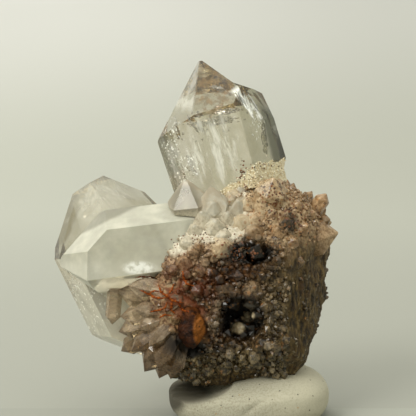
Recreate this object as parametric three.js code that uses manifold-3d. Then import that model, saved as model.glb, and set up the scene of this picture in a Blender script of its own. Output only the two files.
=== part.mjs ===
// A smoky quartz scepter cluster on a pebble: large quartz crystals and a fan of small ones, grown from
// a brown druse on dark rock. Millimetres, +Z up, seen from the front along +Y.
// The origin is the middle of the flat spot on which the pebble rests.
import * as THREE from "three";
import { ConvexGeometry } from "three/addons/geometries/ConvexGeometry.js";
import { mergeVertices } from "three/addons/utils/BufferGeometryUtils.js";
import Module from "manifold-3d";

const wasm = await Module();
wasm.setup();

// Air left between a piece and the one it was grown from or rests on.
const GAP = 0.3;
// Quartz: the normal of a tip face stands this far from the crystal's axis.
const TIP_SLOPE = 51.8;

const radians = THREE.MathUtils.degToRad;
const vector = (x, y, z) => new THREE.Vector3(x, y, z);

// The large crystals, each the space inside its faces. tip is a point on the axis, lean the axis
// towards it and length the way down to the foot. A face is [round, slope, reach]: round is where it
// looks, in degrees from the front to the right, slope is the angle between its normal and the axis,
// 90 for a side, and reach is how far it lies from the tip. A foot of null is broken off flat.
const TOP_MAIN = {
  tip: [-9.86, 0, 71.4],
  lean: [-0.3, -0.14, 0.944],
  faces: [
    [9, 48, 0],
    [-59, 47, 0],
    [-117, 50, 0],
    [170, 52, -0.5],
    [108, 62, 0],
    [7, 90, 8.3],
    [48, 90, 8.0],
    [109, 90, 8.5],
    [176, 90, 8.8],
    [-124, 90, 10.1],
    [-42, 90, 9.6],
  ],
  length: 35,
  foot: null,
};

// Grown parallel to the first and joined to it on the right.
const TOP_SECOND = {
  tip: TOP_MAIN.tip,
  lean: TOP_MAIN.lean,
  faces: [
    [55, 75, 4.8],
    [70, 75, 5.6],
    [133, 30, -4.9],
    [12, 90, 8.2],
    [48, 90, 8.0],
    [109, 90, 10.0],
    [176, 90, 7.4],
    [-90, 90, -4.6],
    [109, 128.2, 22.8],
    [48, 128.2, 22.6],
    [176, 128.2, 17],
  ],
  length: 35,
  foot: null,
};

const LEFT_BACK_SCEPTER = {
  tip: [-32.1, 3.0, 46.7],
  lean: [-0.418, -0.1, 0.903],
  faces: [
    [-13, 46, 0],
    [60, 50, 0],
    [-42, 53, 1.9],
    [-61, 49, 2.0],
    [-120, 52, 2.8],
    [-141, 13, 0],
    [180, 52, 4.8],
    [120, 52, 3.2],
    [0, 90, 9.0],
    [60, 90, 9.5],
    [120, 90, 9.5],
    [180, 90, 9.5],
    [-116, 90, 11.1],
    [-58, 90, 12.0],
  ],
  length: 44,
  foot: [0, 0, 0, 0, 0, 0],
};

const LEFT_FRONT_CRYSTAL = {
  tip: [-37.8, -9.5, 31.8],
  lean: [-0.97, -0.2, -0.1],
  faces: [
    [65, 50, -0.2],
    [9, 32, -1.6],
    [-79, 48, -0.4],
    [120, 52, 0],
    [180, 52, 0],
    [-120, 52, 0],
    [60, 90, 8.5],
    [-3, 90, 6.3],
    [-62, 90, 5.7],
    [120, 90, 7.5],
    [180, 90, 5.5],
    [-120, 90, 6.5],
  ],
  length: 27,
  foot: null,
};

// Small crystals with regular faces: [tip, foot, width, turn about the axis in degrees, further faces].
const SHOULDER = [
  [[-12.6, -7.8, 48.5], [-10.4, -4.5, 34], 8.2, -10, [[85, 28, -0.6]]],
  [[-7.7, -9.6, 47.1], [-6.2, -4.5, 34], 6.2, 5, [[12, 51.8, -0.7], [80, 40, -0.5]]],
  [[-4.9, -8.6, 44.4], [-6.0, -5.0, 33], 5.2, 5],
  [[-2.4, -8.8, 42.4], [-4.0, -5.0, 32], 4.8, 25],
];

const FAN_ROOT = [-12.8, -9, 22.4];
const FAN = [
  [[-25.8, -9.0, 26.2], [-14, -8, 25], 4.6, 10],
  [[-23.4, -12.0, 28.0], [-13, -9, 25.5], 4.4, 35],
  [[-25.2, -9.5, 21.6], FAN_ROOT, 4.0, 0],
  [[-25.6, -8.5, 18.4], FAN_ROOT, 3.6, 20],
  [[-25.4, -5.0, 13.8], FAN_ROOT, 3.2, 5],
  [[-22.8, -12.5, 15.4], FAN_ROOT, 3.6, 25],
  [[-20.6, -9.0, 10.6], FAN_ROOT, 4.6, 15],
  [[-17.7, -9.5, 9.4], FAN_ROOT, 4.4, 0],
  [[-15.4, -11.0, 9.6], FAN_ROOT, 4.2, 30],
  [[-26.9, -7.5, 19.6], [-26.2, -8.0, 27], 2.6, 5],
  [[-22.2, -13.2, 23.8], FAN_ROOT, 3.8, 15],
  [[-21.6, -13.4, 20.0], FAN_ROOT, 3.6, 40],
  [[-19.4, -14.6, 16.8], FAN_ROOT, 3.6, 10],
  [[-20.6, -12.2, 13.2], FAN_ROOT, 4.0, 30],
  [[-17.8, -13.8, 12.4], FAN_ROOT, 4.0, 50],
  [[-19.4, -13.2, 27.6], [-13, -8.5, 24.5], 4.2, 20],
  [[-16.2, -14.8, 26.6], [-12, -8.5, 23.5], 4.0, 45],
];

// The rock: a body round a middle, its faces given as outward directions and distances.
const ROCK_MIDDLE = [-2, 0, 27];
const ROCK_FACES = [
  [0.985, 0, -0.185, 17.8],
  [0.909, 0, 0.418, 21.4],
  [0.447, 0, 0.894, 21.2],
  [-0.27, 0, 0.96, 18],
  [-0.868, 0, 0.496, 15.5],
  [-1, 0, 0, 18],
  [-0.76, 0, -0.65, 21.3],
  [0.1, 0, -1, 20],
  [0.795, 0, -0.607, 20.2],
  [0, -1, 0, 14],
  [0.84, -0.54, 0, 15.4],
  [0, -0.8, -0.6, 20],
  [0, -0.75, 0.66, 17],
  [0, 1, 0, 14],
  [-0.6, 0.75, 0.2, 15],
  [0.6, 0.8, 0, 17],
  [0, 0.7, 0.7, 20.5],
  [0, 0.8, -0.6, 19],
];
const ROCK_SHARPNESS = 14;
const ROCK_ROUGHNESS = 0.8;
const ROCK_DETAIL = 6;
// How uneven the hollows and the lump in the druse are, as a share of their size.
const LUMP = 0.1;

// Hollows in the front of the druse: [middle, half sizes].
const HOLLOWS = [
  [[-1.8, -12, 19.8], [3.1, 6, 3.6]],
  [[-12, -13, 13.4], [2.1, 4, 1.9]],
  [[0.7, -13, 33.4], [2.4, 4, 1.9]],
];

// The druse: small crystals all over the rock but its bare right wall and its underside.
const DRUSE_DIRECTIONS = 190;
const DRUSE_WIDTH = [2.4, 4.2];
const DRUSE_HEIGHT = [1.4, 2.8];
const DRUSE_ROOT = 2.0;

// Larger crystals fused in the druse, in the form of the small ones.
const DRUSE_SINGLES = [
  [[-4.8, -14.4, 34.6], [-4, -8, 31], 4.2, 10],
  [[1.4, -13.8, 36.2], [0, -7, 32], 4.0, 20],
  [[17.9, -3.2, 37.2], [9, -1, 35.4], 7.0, 0],
  [[15.4, -1.0, 44.9], [11, 0, 38], 2.8, 15],
  [[4.4, -9.8, 48.6], [3.0, -4.5, 40], 5.8, 20],
];

// The rust-brown lump: its middle and half sizes.
const NODULE_MIDDLE = [-11.4, -13.0, 18.6];
const NODULE_HALF = [2.6, 3.2, 4.2];

// The pebble: half sizes round a middle, its top higher on the right, its underside cut flat.
const PEBBLE_MIDDLE = [0, 0, 4.7];
const PEBBLE_HALF = [16.2, 12];
const PEBBLE_TOP = 4.5;
const PEBBLE_TOP_RISE = 2.1;
const PEBBLE_UNDER = 6.2;
const PEBBLE_PLAN_SQUARENESS = 2.4;
const PEBBLE_TOP_SQUARENESS = 2.2;
const PEBBLE_UNDER_SQUARENESS = 3.2;
// A scoop out of its left shoulder, in the form of the hollows.
const PEBBLE_SCOOP = [[-9, -6, 10], [6.5, 9, 5.2]];

// The corners of the convex body inside planes, each a normal and a distance from the origin.
function cornersInside(planes) {
  const corners = [];
  const near = 1e-6;
  for (let i = 0; i < planes.length; i++) {
    for (let j = i + 1; j < planes.length; j++) {
      for (let k = j + 1; k < planes.length; k++) {
        const [a, b, c] = [planes[i], planes[j], planes[k]];
        const bc = b.normal.clone().cross(c.normal);
        const det = a.normal.dot(bc);
        if (Math.abs(det) < near) continue;
        const ca = c.normal.clone().cross(a.normal);
        const ab = a.normal.clone().cross(b.normal);
        const corner = bc
          .multiplyScalar(a.distance)
          .addScaledVector(ca, b.distance)
          .addScaledVector(ab, c.distance)
          .divideScalar(det);
        if (planes.every((p) => p.normal.dot(corner) < p.distance + near)) {
          corners.push(corner);
        }
      }
    }
  }
  return corners;
}

// The planes of a crystal, each moved out by grow.
function crystalPlanes(crystal, grow = 0) {
  const tip = vector(...crystal.tip);
  const axis = vector(...crystal.lean).normalize();
  const front = vector(0, -1, 0).projectOnPlane(axis).normalize();
  const right = axis.clone().cross(front);
  const base = tip.clone().addScaledVector(axis, -crystal.length);
  const looking = (round, slope) =>
    front
      .clone()
      .multiplyScalar(Math.cos(radians(round)))
      .addScaledVector(right, Math.sin(radians(round)))
      .multiplyScalar(Math.sin(radians(slope)))
      .addScaledVector(axis, Math.cos(radians(slope)));
  const planes = crystal.faces.map(([round, slope, reach]) => {
    const normal = looking(round, slope);
    return { normal, distance: normal.dot(tip) + reach + grow };
  });
  if (crystal.foot) {
    crystal.foot.forEach((reach, k) => {
      const normal = looking(60 * k, 180 - TIP_SLOPE);
      planes.push({ normal, distance: normal.dot(base) + reach + grow });
    });
  } else {
    const normal = axis.clone().negate();
    planes.push({ normal, distance: normal.dot(base) + grow });
  }
  return planes;
}

// A small crystal as a crystal with regular faces.
function regularCrystal([tip, foot, width, turn, further = []]) {
  const lean = vector(...tip).sub(vector(...foot));
  const faces = [...further];
  for (let k = 0; k < 6; k++) {
    const round = turn + 60 * k;
    faces.push([round, TIP_SLOPE, 0], [round, 90, width / 2]);
  }
  return { tip, lean: lean.toArray(), faces, length: lean.length(), foot: null };
}

// A closed mesh as a solid that can be joined and cut.
function solidOf(geometry) {
  const bare = geometry.clone();
  bare.deleteAttribute("normal");
  bare.deleteAttribute("uv");
  const merged = mergeVertices(bare, 1e-4);
  return new wasm.Manifold(
    new wasm.Mesh({
      numProp: 3,
      vertProperties: merged.attributes.position.array,
      triVerts: new Uint32Array(merged.index.array),
    }),
  );
}

const crystalSolid = (crystal, grow = 0) =>
  solidOf(new ConvexGeometry(cornersInside(crystalPlanes(crystal, grow))));

// The largest body of a solid, without the chips that a cut leaves loose.
function largestBody(solid) {
  const { vertProperties, triVerts } = solid.getMesh();
  const leader = [...Array(vertProperties.length / 3).keys()];
  const lead = (i) => {
    while (leader[i] !== i) i = leader[i] = leader[leader[i]];
    return i;
  };
  for (let t = 0; t < triVerts.length; t += 3) {
    leader[lead(triVerts[t])] = lead(triVerts[t + 1]);
    leader[lead(triVerts[t + 1])] = lead(triVerts[t + 2]);
  }
  const sizes = new Map();
  triVerts.forEach((v) => sizes.set(lead(v), (sizes.get(lead(v)) ?? 0) + 1));
  const largest = [...sizes.entries()].sort((a, b) => b[1] - a[1])[0][0];
  const kept = triVerts.filter((v) => lead(v) === largest);
  return new wasm.Manifold(new wasm.Mesh({ numProp: 3, vertProperties, triVerts: kept }));
}

const joined = (solids) => solids.reduce((whole, solid) => whole.add(solid));
const without = (solid, others) => others.reduce((rest, other) => rest.subtract(other), solid);

// A body whose surface lies at reach(direction) from its middle.
function starSolid(middle, detail, reach) {
  const geometry = new THREE.IcosahedronGeometry(1, detail);
  const position = geometry.attributes.position;
  const direction = vector(0, 0, 0);
  for (let i = 0; i < position.count; i++) {
    direction.fromBufferAttribute(position, i).normalize();
    const point = reach(direction.clone());
    position.setXYZ(i, point.x + middle[0], point.y + middle[1], point.z + middle[2]);
  }
  return solidOf(geometry);
}

// Smooth lumps between -1 and 1.
function lumps(p) {
  const a = Math.sin(0.62 * p.x + 1.4 * Math.sin(0.41 * p.z));
  const b = Math.sin(0.71 * p.y + 1.2 * Math.sin(0.37 * p.x) + 1);
  const c = Math.sin(0.66 * p.z + 1.3 * Math.sin(0.45 * p.y) + 2);
  return (a + b + c) / 3;
}

// How far the rock's surface lies from its middle.
function rockReach(direction, grow = 0) {
  let sum = 0;
  for (const [x, y, z, distance] of ROCK_FACES) {
    const facing = direction.dot(vector(x, y, z).normalize());
    if (facing > 0) sum += (facing / (distance + grow)) ** ROCK_SHARPNESS;
  }
  const smooth = sum ** (-1 / ROCK_SHARPNESS);
  return smooth + ROCK_ROUGHNESS * lumps(direction.clone().multiplyScalar(smooth));
}

const rockSolid = (grow = 0) =>
  starSolid(ROCK_MIDDLE, ROCK_DETAIL, (d) => d.multiplyScalar(rockReach(d, grow)));

// A fixed number between 0 and 1 for each whole number.
function chance(n) {
  const s = Math.sin(n * 12.9898 + 4.1414) * 43758.5453;
  return s - Math.floor(s);
}

const between = ([low, high], share) => low + (high - low) * share;

// The small crystals of the druse, spread evenly over the rock by the golden angle.
function drusePoints(taken) {
  const middle = vector(...ROCK_MIDDLE);
  const golden = Math.PI * (3 - Math.sqrt(5));
  const points = [];
  for (let i = 0; i < DRUSE_DIRECTIONS; i++) {
    const z = 1 - (2 * i + 1) / DRUSE_DIRECTIONS;
    const flat = Math.sqrt(1 - z * z);
    const direction = vector(flat * Math.cos(golden * i), flat * Math.sin(golden * i), z);
    const root = direction.clone().multiplyScalar(rockReach(direction)).add(middle);
    const bareWall = direction.x > 0.35 && direction.y < 0.45 && direction.z < 0.45;
    if (bareWall || direction.z < -0.68) continue;
    const width = between(DRUSE_WIDTH, chance(i));
    const clear = (planes) =>
      planes.some((p) => p.normal.dot(root) > p.distance + 0.35 * width);
    if (!taken.every(clear)) continue;
    const sway = vector(chance(i + 0.3) - 0.5, chance(i + 0.5) - 0.5, chance(i + 0.7) - 0.5);
    const lean = direction.clone().addScaledVector(sway, 0.7).normalize();
    const height = between(DRUSE_HEIGHT, chance(i + 0.9));
    const tip = root.clone().addScaledVector(lean, height).toArray();
    const foot = root.clone().addScaledVector(lean, -DRUSE_ROOT).toArray();
    points.push([tip, foot, width, 60 * chance(i + 0.1)]);
  }
  return points;
}

// The pebble's surface, cut flat at the height of the ground.
function pebblePoint(direction) {
  const { x, y, z } = direction;
  const upper = z > 0;
  const square = upper ? PEBBLE_TOP_SQUARENESS : PEBBLE_UNDER_SQUARENESS;
  const height = upper ? PEBBLE_TOP + PEBBLE_TOP_RISE * x : PEBBLE_UNDER;
  const across =
    Math.abs(x / PEBBLE_HALF[0]) ** PEBBLE_PLAN_SQUARENESS +
    Math.abs(y / PEBBLE_HALF[1]) ** PEBBLE_PLAN_SQUARENESS;
  const sum = across ** (square / PEBBLE_PLAN_SQUARENESS) + Math.abs(z / height) ** square;
  const point = direction.multiplyScalar(sum ** (-1 / square));
  point.z = Math.max(point.z, -PEBBLE_MIDDLE[2]);
  return point;
}

const ellipsoid = (middle, half, detail, grow = 0) =>
  starSolid(middle, detail, (d) => {
    const lumpy = 1 + LUMP * Math.sin(3 * d.x + 5 * d.z + 2 * d.y);
    return d.multiply(vector(...half).addScalar(grow)).multiplyScalar(lumpy);
  });

const grown = (crystals) =>
  joined(crystals.map((small) => crystalSolid(regularCrystal(small), GAP)));
const group = (crystals) => joined(crystals.map((small) => crystalSolid(regularCrystal(small))));

const rockRoom = rockSolid(GAP * 1.2);
const topCrystals = crystalSolid(TOP_MAIN).add(crystalSolid(TOP_SECOND));
const topScepter = largestBody(topCrystals.subtract(rockRoom));
const topSocket = crystalSolid(TOP_MAIN, GAP).add(crystalSolid(TOP_SECOND, GAP));
const frontSocket = crystalSolid(LEFT_FRONT_CRYSTAL, GAP);
const backSocket = crystalSolid(LEFT_BACK_SCEPTER, GAP);
const shoulder = without(group(SHOULDER), [topSocket, frontSocket]);
const shoulderSocket = grown(SHOULDER);
const nodule = ellipsoid(NODULE_MIDDLE, NODULE_HALF, 3);
const noduleSocket = ellipsoid(NODULE_MIDDLE, NODULE_HALF, 3, GAP);
const fan = largestBody(without(group(FAN), [frontSocket, backSocket, noduleSocket]));
const fanSocket = grown(FAN);

const taken = [TOP_MAIN, TOP_SECOND, LEFT_FRONT_CRYSTAL, LEFT_BACK_SCEPTER]
  .concat([...SHOULDER, ...FAN].map(regularCrystal))
  .map((crystal) => crystalPlanes(crystal));
const druse = [...drusePoints(taken), ...DRUSE_SINGLES];
const hollows = HOLLOWS.map(([middle, half]) => ellipsoid(middle, half, 2));
const freeDruse = group(druse).subtract(topSocket);
const cutRock = without(rockSolid().add(freeDruse), [
  ...hollows,
  frontSocket,
  backSocket,
  shoulderSocket,
  fanSocket,
  noduleSocket,
]);
const matrix = largestBody(cutRock);
const [scoopMiddle, scoopHalf] = PEBBLE_SCOOP;
const pebble = without(starSolid(PEBBLE_MIDDLE, 7, pebblePoint), [
  rockRoom,
  ellipsoid(scoopMiddle, scoopHalf, 2),
]);

function geometryOf(solid) {
  const { vertProperties, triVerts } = solid.getMesh();
  return new THREE.BufferGeometry()
    .setAttribute("position", new THREE.BufferAttribute(vertProperties, 3))
    .setIndex(new THREE.BufferAttribute(triVerts, 1));
}

function piece(name, solid, color, roughness) {
  const look = new THREE.MeshStandardMaterial({ color, roughness, metalness: 0 });
  const made = new THREE.Mesh(geometryOf(solid), look);
  made.name = name;
  return made;
}

const cluster = new THREE.Group();
cluster.add(
  piece("rest_stone", pebble, 0xc9c0ac, 0.8),
  piece("matrix", matrix, 0x7d6756, 0.6),
  piece("top_scepter", topScepter, 0xd9d5c4, 0.05),
  piece("left_back_scepter", without(crystalSolid(LEFT_BACK_SCEPTER), [frontSocket]), 0xd9d5c4, 0.05),
  piece("left_front_crystal", crystalSolid(LEFT_FRONT_CRYSTAL), 0xd8d6cc, 0.12),
  piece("shoulder_crystals", shoulder, 0xd0c8b8, 0.2),
  piece("fan_crystals", fan, 0xa89886, 0.15),
  piece("iron_nodule", nodule, 0x7a4a28, 0.7),
);

export default cluster;
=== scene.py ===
"""Smoky quartz scepter cluster on a pebble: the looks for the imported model."""

import contextlib
import functools
import math
import random

import bmesh
import bpy
import numpy as np
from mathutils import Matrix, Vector, noise
from mathutils.bvhtree import BVHTree


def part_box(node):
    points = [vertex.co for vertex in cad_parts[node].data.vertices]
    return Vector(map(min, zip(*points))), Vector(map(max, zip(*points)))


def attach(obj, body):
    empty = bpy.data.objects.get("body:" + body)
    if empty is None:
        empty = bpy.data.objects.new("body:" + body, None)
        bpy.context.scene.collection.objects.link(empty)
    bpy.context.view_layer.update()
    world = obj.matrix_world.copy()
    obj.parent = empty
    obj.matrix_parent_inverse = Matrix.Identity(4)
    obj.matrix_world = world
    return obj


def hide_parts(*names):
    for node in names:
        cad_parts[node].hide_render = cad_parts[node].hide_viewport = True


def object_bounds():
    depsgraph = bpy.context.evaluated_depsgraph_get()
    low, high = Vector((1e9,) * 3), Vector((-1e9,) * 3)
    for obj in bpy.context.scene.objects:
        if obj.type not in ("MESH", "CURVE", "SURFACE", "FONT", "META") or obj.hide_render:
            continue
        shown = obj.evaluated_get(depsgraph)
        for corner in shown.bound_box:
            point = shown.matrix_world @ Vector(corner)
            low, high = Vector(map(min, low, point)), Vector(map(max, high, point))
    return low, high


bl_info = {
    "name": "Smoky quartz scepter cluster",
    "version": (1, 0, 0),
    "blender": (4, 5, 0),
    "location": "3D View > Sidebar > Quartz",
    "description": "Builds a quartz cluster with its druse, rock and pebble",
    "category": "Object",
}

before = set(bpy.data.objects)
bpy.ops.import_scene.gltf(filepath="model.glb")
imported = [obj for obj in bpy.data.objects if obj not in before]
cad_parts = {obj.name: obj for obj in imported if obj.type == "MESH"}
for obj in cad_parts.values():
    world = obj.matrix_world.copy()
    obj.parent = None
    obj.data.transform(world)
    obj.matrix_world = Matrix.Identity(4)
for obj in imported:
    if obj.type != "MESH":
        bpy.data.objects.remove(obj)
CAD_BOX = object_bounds()

MM = 0.001
# The photograph's scale: one pixel is PIXEL millimetres, and the ground's middle is at this pixel.
PIXEL = 0.2
GROUND_X = 249
GROUND_Y = 417


def across(px):
    """The X, in millimetres, of a column of the photograph."""
    return (px - GROUND_X) * PIXEL


def height(py):
    """The Z, in millimetres, of a row of the photograph."""
    return (GROUND_Y - py) * PIXEL


# The rock, as in the solid model: outward directions with distances from its middle, in millimetres.
ROCK_MIDDLE = (-2, 0, 27)
ROCK_FACES = [
    (0.985, 0, -0.185, 17.8),
    (0.909, 0, 0.418, 21.4),
    (0.447, 0, 0.894, 21.2),
    (-0.27, 0, 0.96, 18),
    (-0.868, 0, 0.496, 15.5),
    (-1, 0, 0, 18),
    (-0.76, 0, -0.65, 21.3),
    (0.1, 0, -1, 20),
    (0.795, 0, -0.607, 20.2),
    (0, -1, 0, 14),
    (0.84, -0.54, 0, 15.4),
    (0, -0.8, -0.6, 16.8),
    (0, -0.75, 0.66, 17),
    (0, 1, 0, 14),
    (-0.6, 0.75, 0.2, 15),
    (0.6, 0.8, 0, 17),
    (0, 0.7, 0.7, 20.5),
    (0, 0.8, -0.6, 19),
]
ROCK_SHARPNESS = 14
ROCK_ROUGHNESS = 0.8
HOLLOWS = [
    ((-1.8, -12, 22.2), (4.0, 6.5, 4.0)),
    ((-12, -13, 15.6), (2.3, 4, 1.9)),
    ((0.7, -13, 33.4), (2.4, 4, 1.9)),
]

PEBBLE_MIDDLE = (0, 0, 4.7)
PEBBLE_HALF = (16.2, 13.6)
PEBBLE_TOP = 4.5
PEBBLE_TOP_RISE = 2.1
PEBBLE_UNDER = 6.2
PEBBLE_PLAN_SQUARENESS = 2.4
PEBBLE_TOP_SQUARENESS = 2.2
PEBBLE_UNDER_SQUARENESS = 3.2
PEBBLE_SCOOP = ((-9, -6, 10), (6.5, 9, 5.2))

# The photograph's camera: what it looks at and how far away, in millimetres, and how far down it looks.
VIEW_TARGET = (across(208), 0, height(208))
VIEW_DISTANCE = 231
VIEW_FALL = 5
VIEW_LENS = 100
VIEW_SENSOR = 36
FRAME = 416
FOCUS = VIEW_LENS / VIEW_SENSOR * FRAME
FORWARD = (0, math.cos(math.radians(VIEW_FALL)), -math.sin(math.radians(VIEW_FALL)))
UPWARD = (0, math.sin(math.radians(VIEW_FALL)), math.cos(math.radians(VIEW_FALL)))


def seen_at(px, depth, py):
    """The place, in millimetres, of a pixel of the photograph at a depth."""
    return across(px), depth, height(py)


def smooth_step(values, low, high):
    """0 at low and 1 at high, with soft ends; low may be the larger."""
    share = np.clip((np.asarray(values, float) - low) / (high - low), 0, 1)
    return share * share * (3 - 2 * share)


def pixels_of(points):
    """The photograph's columns and rows of points in millimetres."""
    away = points - np.array(VIEW_TARGET)
    depth = VIEW_DISTANCE + away @ np.array(FORWARD)
    return FRAME / 2 + FOCUS * away[:, 0] / depth, FRAME / 2 - FOCUS * (away @ np.array(UPWARD)) / depth


def spot(points, px, py, wide, high, edge=0.4):
    """1 inside an ellipse of the front view, 0 outside, for points in millimetres."""
    column, row = pixels_of(points)
    return smooth_step(np.hypot((column - px) / wide, (row - py) / high), 1 + edge, 1 - edge)


def lumps(p):
    """The smooth lumps of the solid rock."""
    a = np.sin(0.62 * p[:, 0] + 1.4 * np.sin(0.41 * p[:, 2]))
    b = np.sin(0.71 * p[:, 1] + 1.2 * np.sin(0.37 * p[:, 0]) + 1)
    c = np.sin(0.66 * p[:, 2] + 1.3 * np.sin(0.45 * p[:, 1]) + 2)
    return (a + b + c) / 3


def ball(divisions):
    """Unit directions and triangles of an icosphere."""
    shape = bmesh.new()
    bmesh.ops.create_icosphere(shape, subdivisions=divisions, radius=1)
    points = np.array([v.co for v in shape.verts])
    faces = [[v.index for v in f.verts] for f in shape.faces]
    shape.free()
    return points / np.linalg.norm(points, axis=1)[:, None], faces


def grain(points, size, octaves=3, seed=0.0):
    """Fractal noise about 0 at points in millimetres, its largest lumps size wide."""
    shift = Vector((seed, 2.3 * seed, -1.7 * seed))
    values = [
        noise.fractal(Vector(p) / size + shift, 0.9, 2.1, octaves, noise_basis="PERLIN_ORIGINAL")
        for p in points
    ]
    return np.array(values)


def cells(points, size, seed=0.0):
    """Rounded knobs: 1 in the middle of each cell, falling to 0 at its rim."""
    shift = Vector((seed, -seed, 0.5 * seed))
    values = []
    for p in points:
        near = noise.voronoi(Vector(p) / size + shift, distance_metric="DISTANCE")[0]
        values.append(near[1] - near[0])
    return np.clip(np.array(values) * 1.6, 0, 1)


def bands(rings, spokes, start=0):
    """Quads between each closed ring of points and the next."""
    faces = []
    for ring in range(rings):
        for spoke in range(spokes):
            a = start + ring * spokes + spoke
            b = start + ring * spokes + (spoke + 1) % spokes
            faces.append([a, b, b + spokes, a + spokes])
    return faces


def pointed_faces(sides):
    """The faces of a prism with a pointed end: its foot, its sides and its tip."""
    tip = [[sides + k, sides + (k + 1) % sides, 2 * sides] for k in range(sides)]
    return [list(range(sides))[::-1], *bands(1, sides), *tip]


def joined(shapes):
    """The corners and the faces of several shapes, each in one list."""
    points = []
    faces = []
    for new_points, new_faces in shapes:
        faces += [[len(points) + i for i in face] for face in new_faces]
        points += list(new_points)
    return points, faces


def new_mesh(name, points, faces):
    """A mesh from points in millimetres."""
    mesh = bpy.data.meshes.new(name)
    mesh.from_pydata([tuple(p) for p in np.asarray(points) * MM], [], faces)
    mesh.update()
    return mesh


def new_object(name, data):
    made = bpy.data.objects.new(name, data)
    bpy.context.scene.collection.objects.link(made)
    return made


def mesh_object(name, points, faces, smooth=True):
    """A new object from points in millimetres."""
    made = new_object(name, new_mesh(name, points, faces))
    if smooth:
        made.data.shade_smooth()
    return made


def swap_mesh(thing, mesh):
    old = thing.data
    thing.data = mesh
    bpy.data.meshes.remove(old)


@contextlib.contextmanager
def edited(thing):
    """An object's mesh while it is being edited."""
    shape = bmesh.new()
    shape.from_mesh(thing.data)
    yield shape
    shape.to_mesh(thing.data)
    shape.free()


def points_of(thing):
    """An object's vertices in millimetres."""
    flat = np.empty(len(thing.data.vertices) * 3)
    thing.data.vertices.foreach_get("co", flat)
    return flat.reshape(-1, 3) / MM


def keep_in_box(thing):
    """Holds an object's vertices inside the box of the solid model."""
    low, high = (np.array(corner) / MM for corner in CAD_BOX)
    thing.data.vertices.foreach_set("co", (np.clip(points_of(thing), low, high) * MM).ravel())
    thing.data.update()


def add_values(thing, **named):
    """Numbers on each vertex, for a shader or a node tree to read."""
    for name, values in named.items():
        layer = thing.data.attributes.new(name, "FLOAT", "POINT")
        layer.data.foreach_set("value", np.asarray(values, float))


def remove(thing):
    mesh = thing.data
    bpy.data.objects.remove(thing)
    bpy.data.meshes.remove(mesh)


def settle(thing, node, material):
    """Gives a finished piece its material and its place in the part."""
    keep_in_box(thing)
    thing.data.materials.clear()
    thing.data.materials.append(material)
    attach(thing, "root")
    if node:
        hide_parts(node)


def edge_width():
    return bpy.context.scene.cluster_sizes.edge_width


def chosen(name):
    """One of the cluster's colours."""
    return tuple(getattr(bpy.context.scene.cluster_colours, name))


class Wire:
    """A node's output: arithmetic on it adds Math nodes."""

    def __init__(self, tree, socket):
        self.tree = tree
        self.socket = socket

    def other(self, name):
        """Another output of the same node."""
        return Wire(self.tree, self.socket.node.outputs[name])

    def math(self, operation, *values):
        return self.tree.node("ShaderNodeMath", {"operation": operation}, dict(enumerate(values)))

    def __add__(self, other):
        return self.math("ADD", self, other)

    def __sub__(self, other):
        return self.math("SUBTRACT", self, other)

    def __rsub__(self, other):
        return self.math("SUBTRACT", other, self)

    def __mul__(self, other):
        return self.math("MULTIPLY", self, other)

    def __truediv__(self, other):
        return self.math("DIVIDE", self, other)

    __radd__ = __add__
    __rmul__ = __mul__

    def larger(self, other):
        return self.math("MAXIMUM", self, other)

    def root(self):
        return self.math("SQRT", self)

    def step(self, low, high):
        """0 at low and 1 at high, with soft ends."""
        if low > high:
            return 1 - self.step(high, low)
        ends = {"Value": self, "From Min": low, "From Max": high}
        return self.tree.node("ShaderNodeMapRange", {"interpolation_type": "SMOOTHSTEP"}, ends)


class Nodes:
    """A node tree while it is being wired."""

    def __init__(self, tree):
        self.tree = tree
        tree.nodes.clear()

    def node(self, kind, settings=None, values=None, out=0):
        made = self.tree.nodes.new(kind)
        for key, value in (settings or {}).items():
            setattr(made, key, value)
        for key, value in (values or {}).items():
            if isinstance(value, Wire):
                self.tree.links.new(value.socket, made.inputs[key])
            else:
                made.inputs[key].default_value = value
        return Wire(self, made.outputs[out])

    def vector_math(self, operation, first, second, out=0):
        """Second is a vector, or a number for a scale."""
        key = "Scale" if operation == "SCALE" else 1
        return self.node("ShaderNodeVectorMath", {"operation": operation}, {0: first, key: second}, out)

    def dot(self, first, second):
        return self.vector_math("DOT_PRODUCT", first, second, "Value")

    def line(self, x, y, z=0.0):
        return self.node("ShaderNodeCombineXYZ", {}, {"X": x, "Y": y, "Z": z})

    def mix(self, share, first, second, blend="MIX"):
        settings = {"data_type": "RGBA", "blend_type": blend}
        return self.node("ShaderNodeMix", settings, {0: share, 6: colour(first), 7: colour(second)}, 2)

    def output(self, kind, **shaders):
        made = self.tree.nodes.new(kind)
        for name, shader in shaders.items():
            if shader:
                self.tree.links.new(shader.socket, made.inputs[name])


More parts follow.
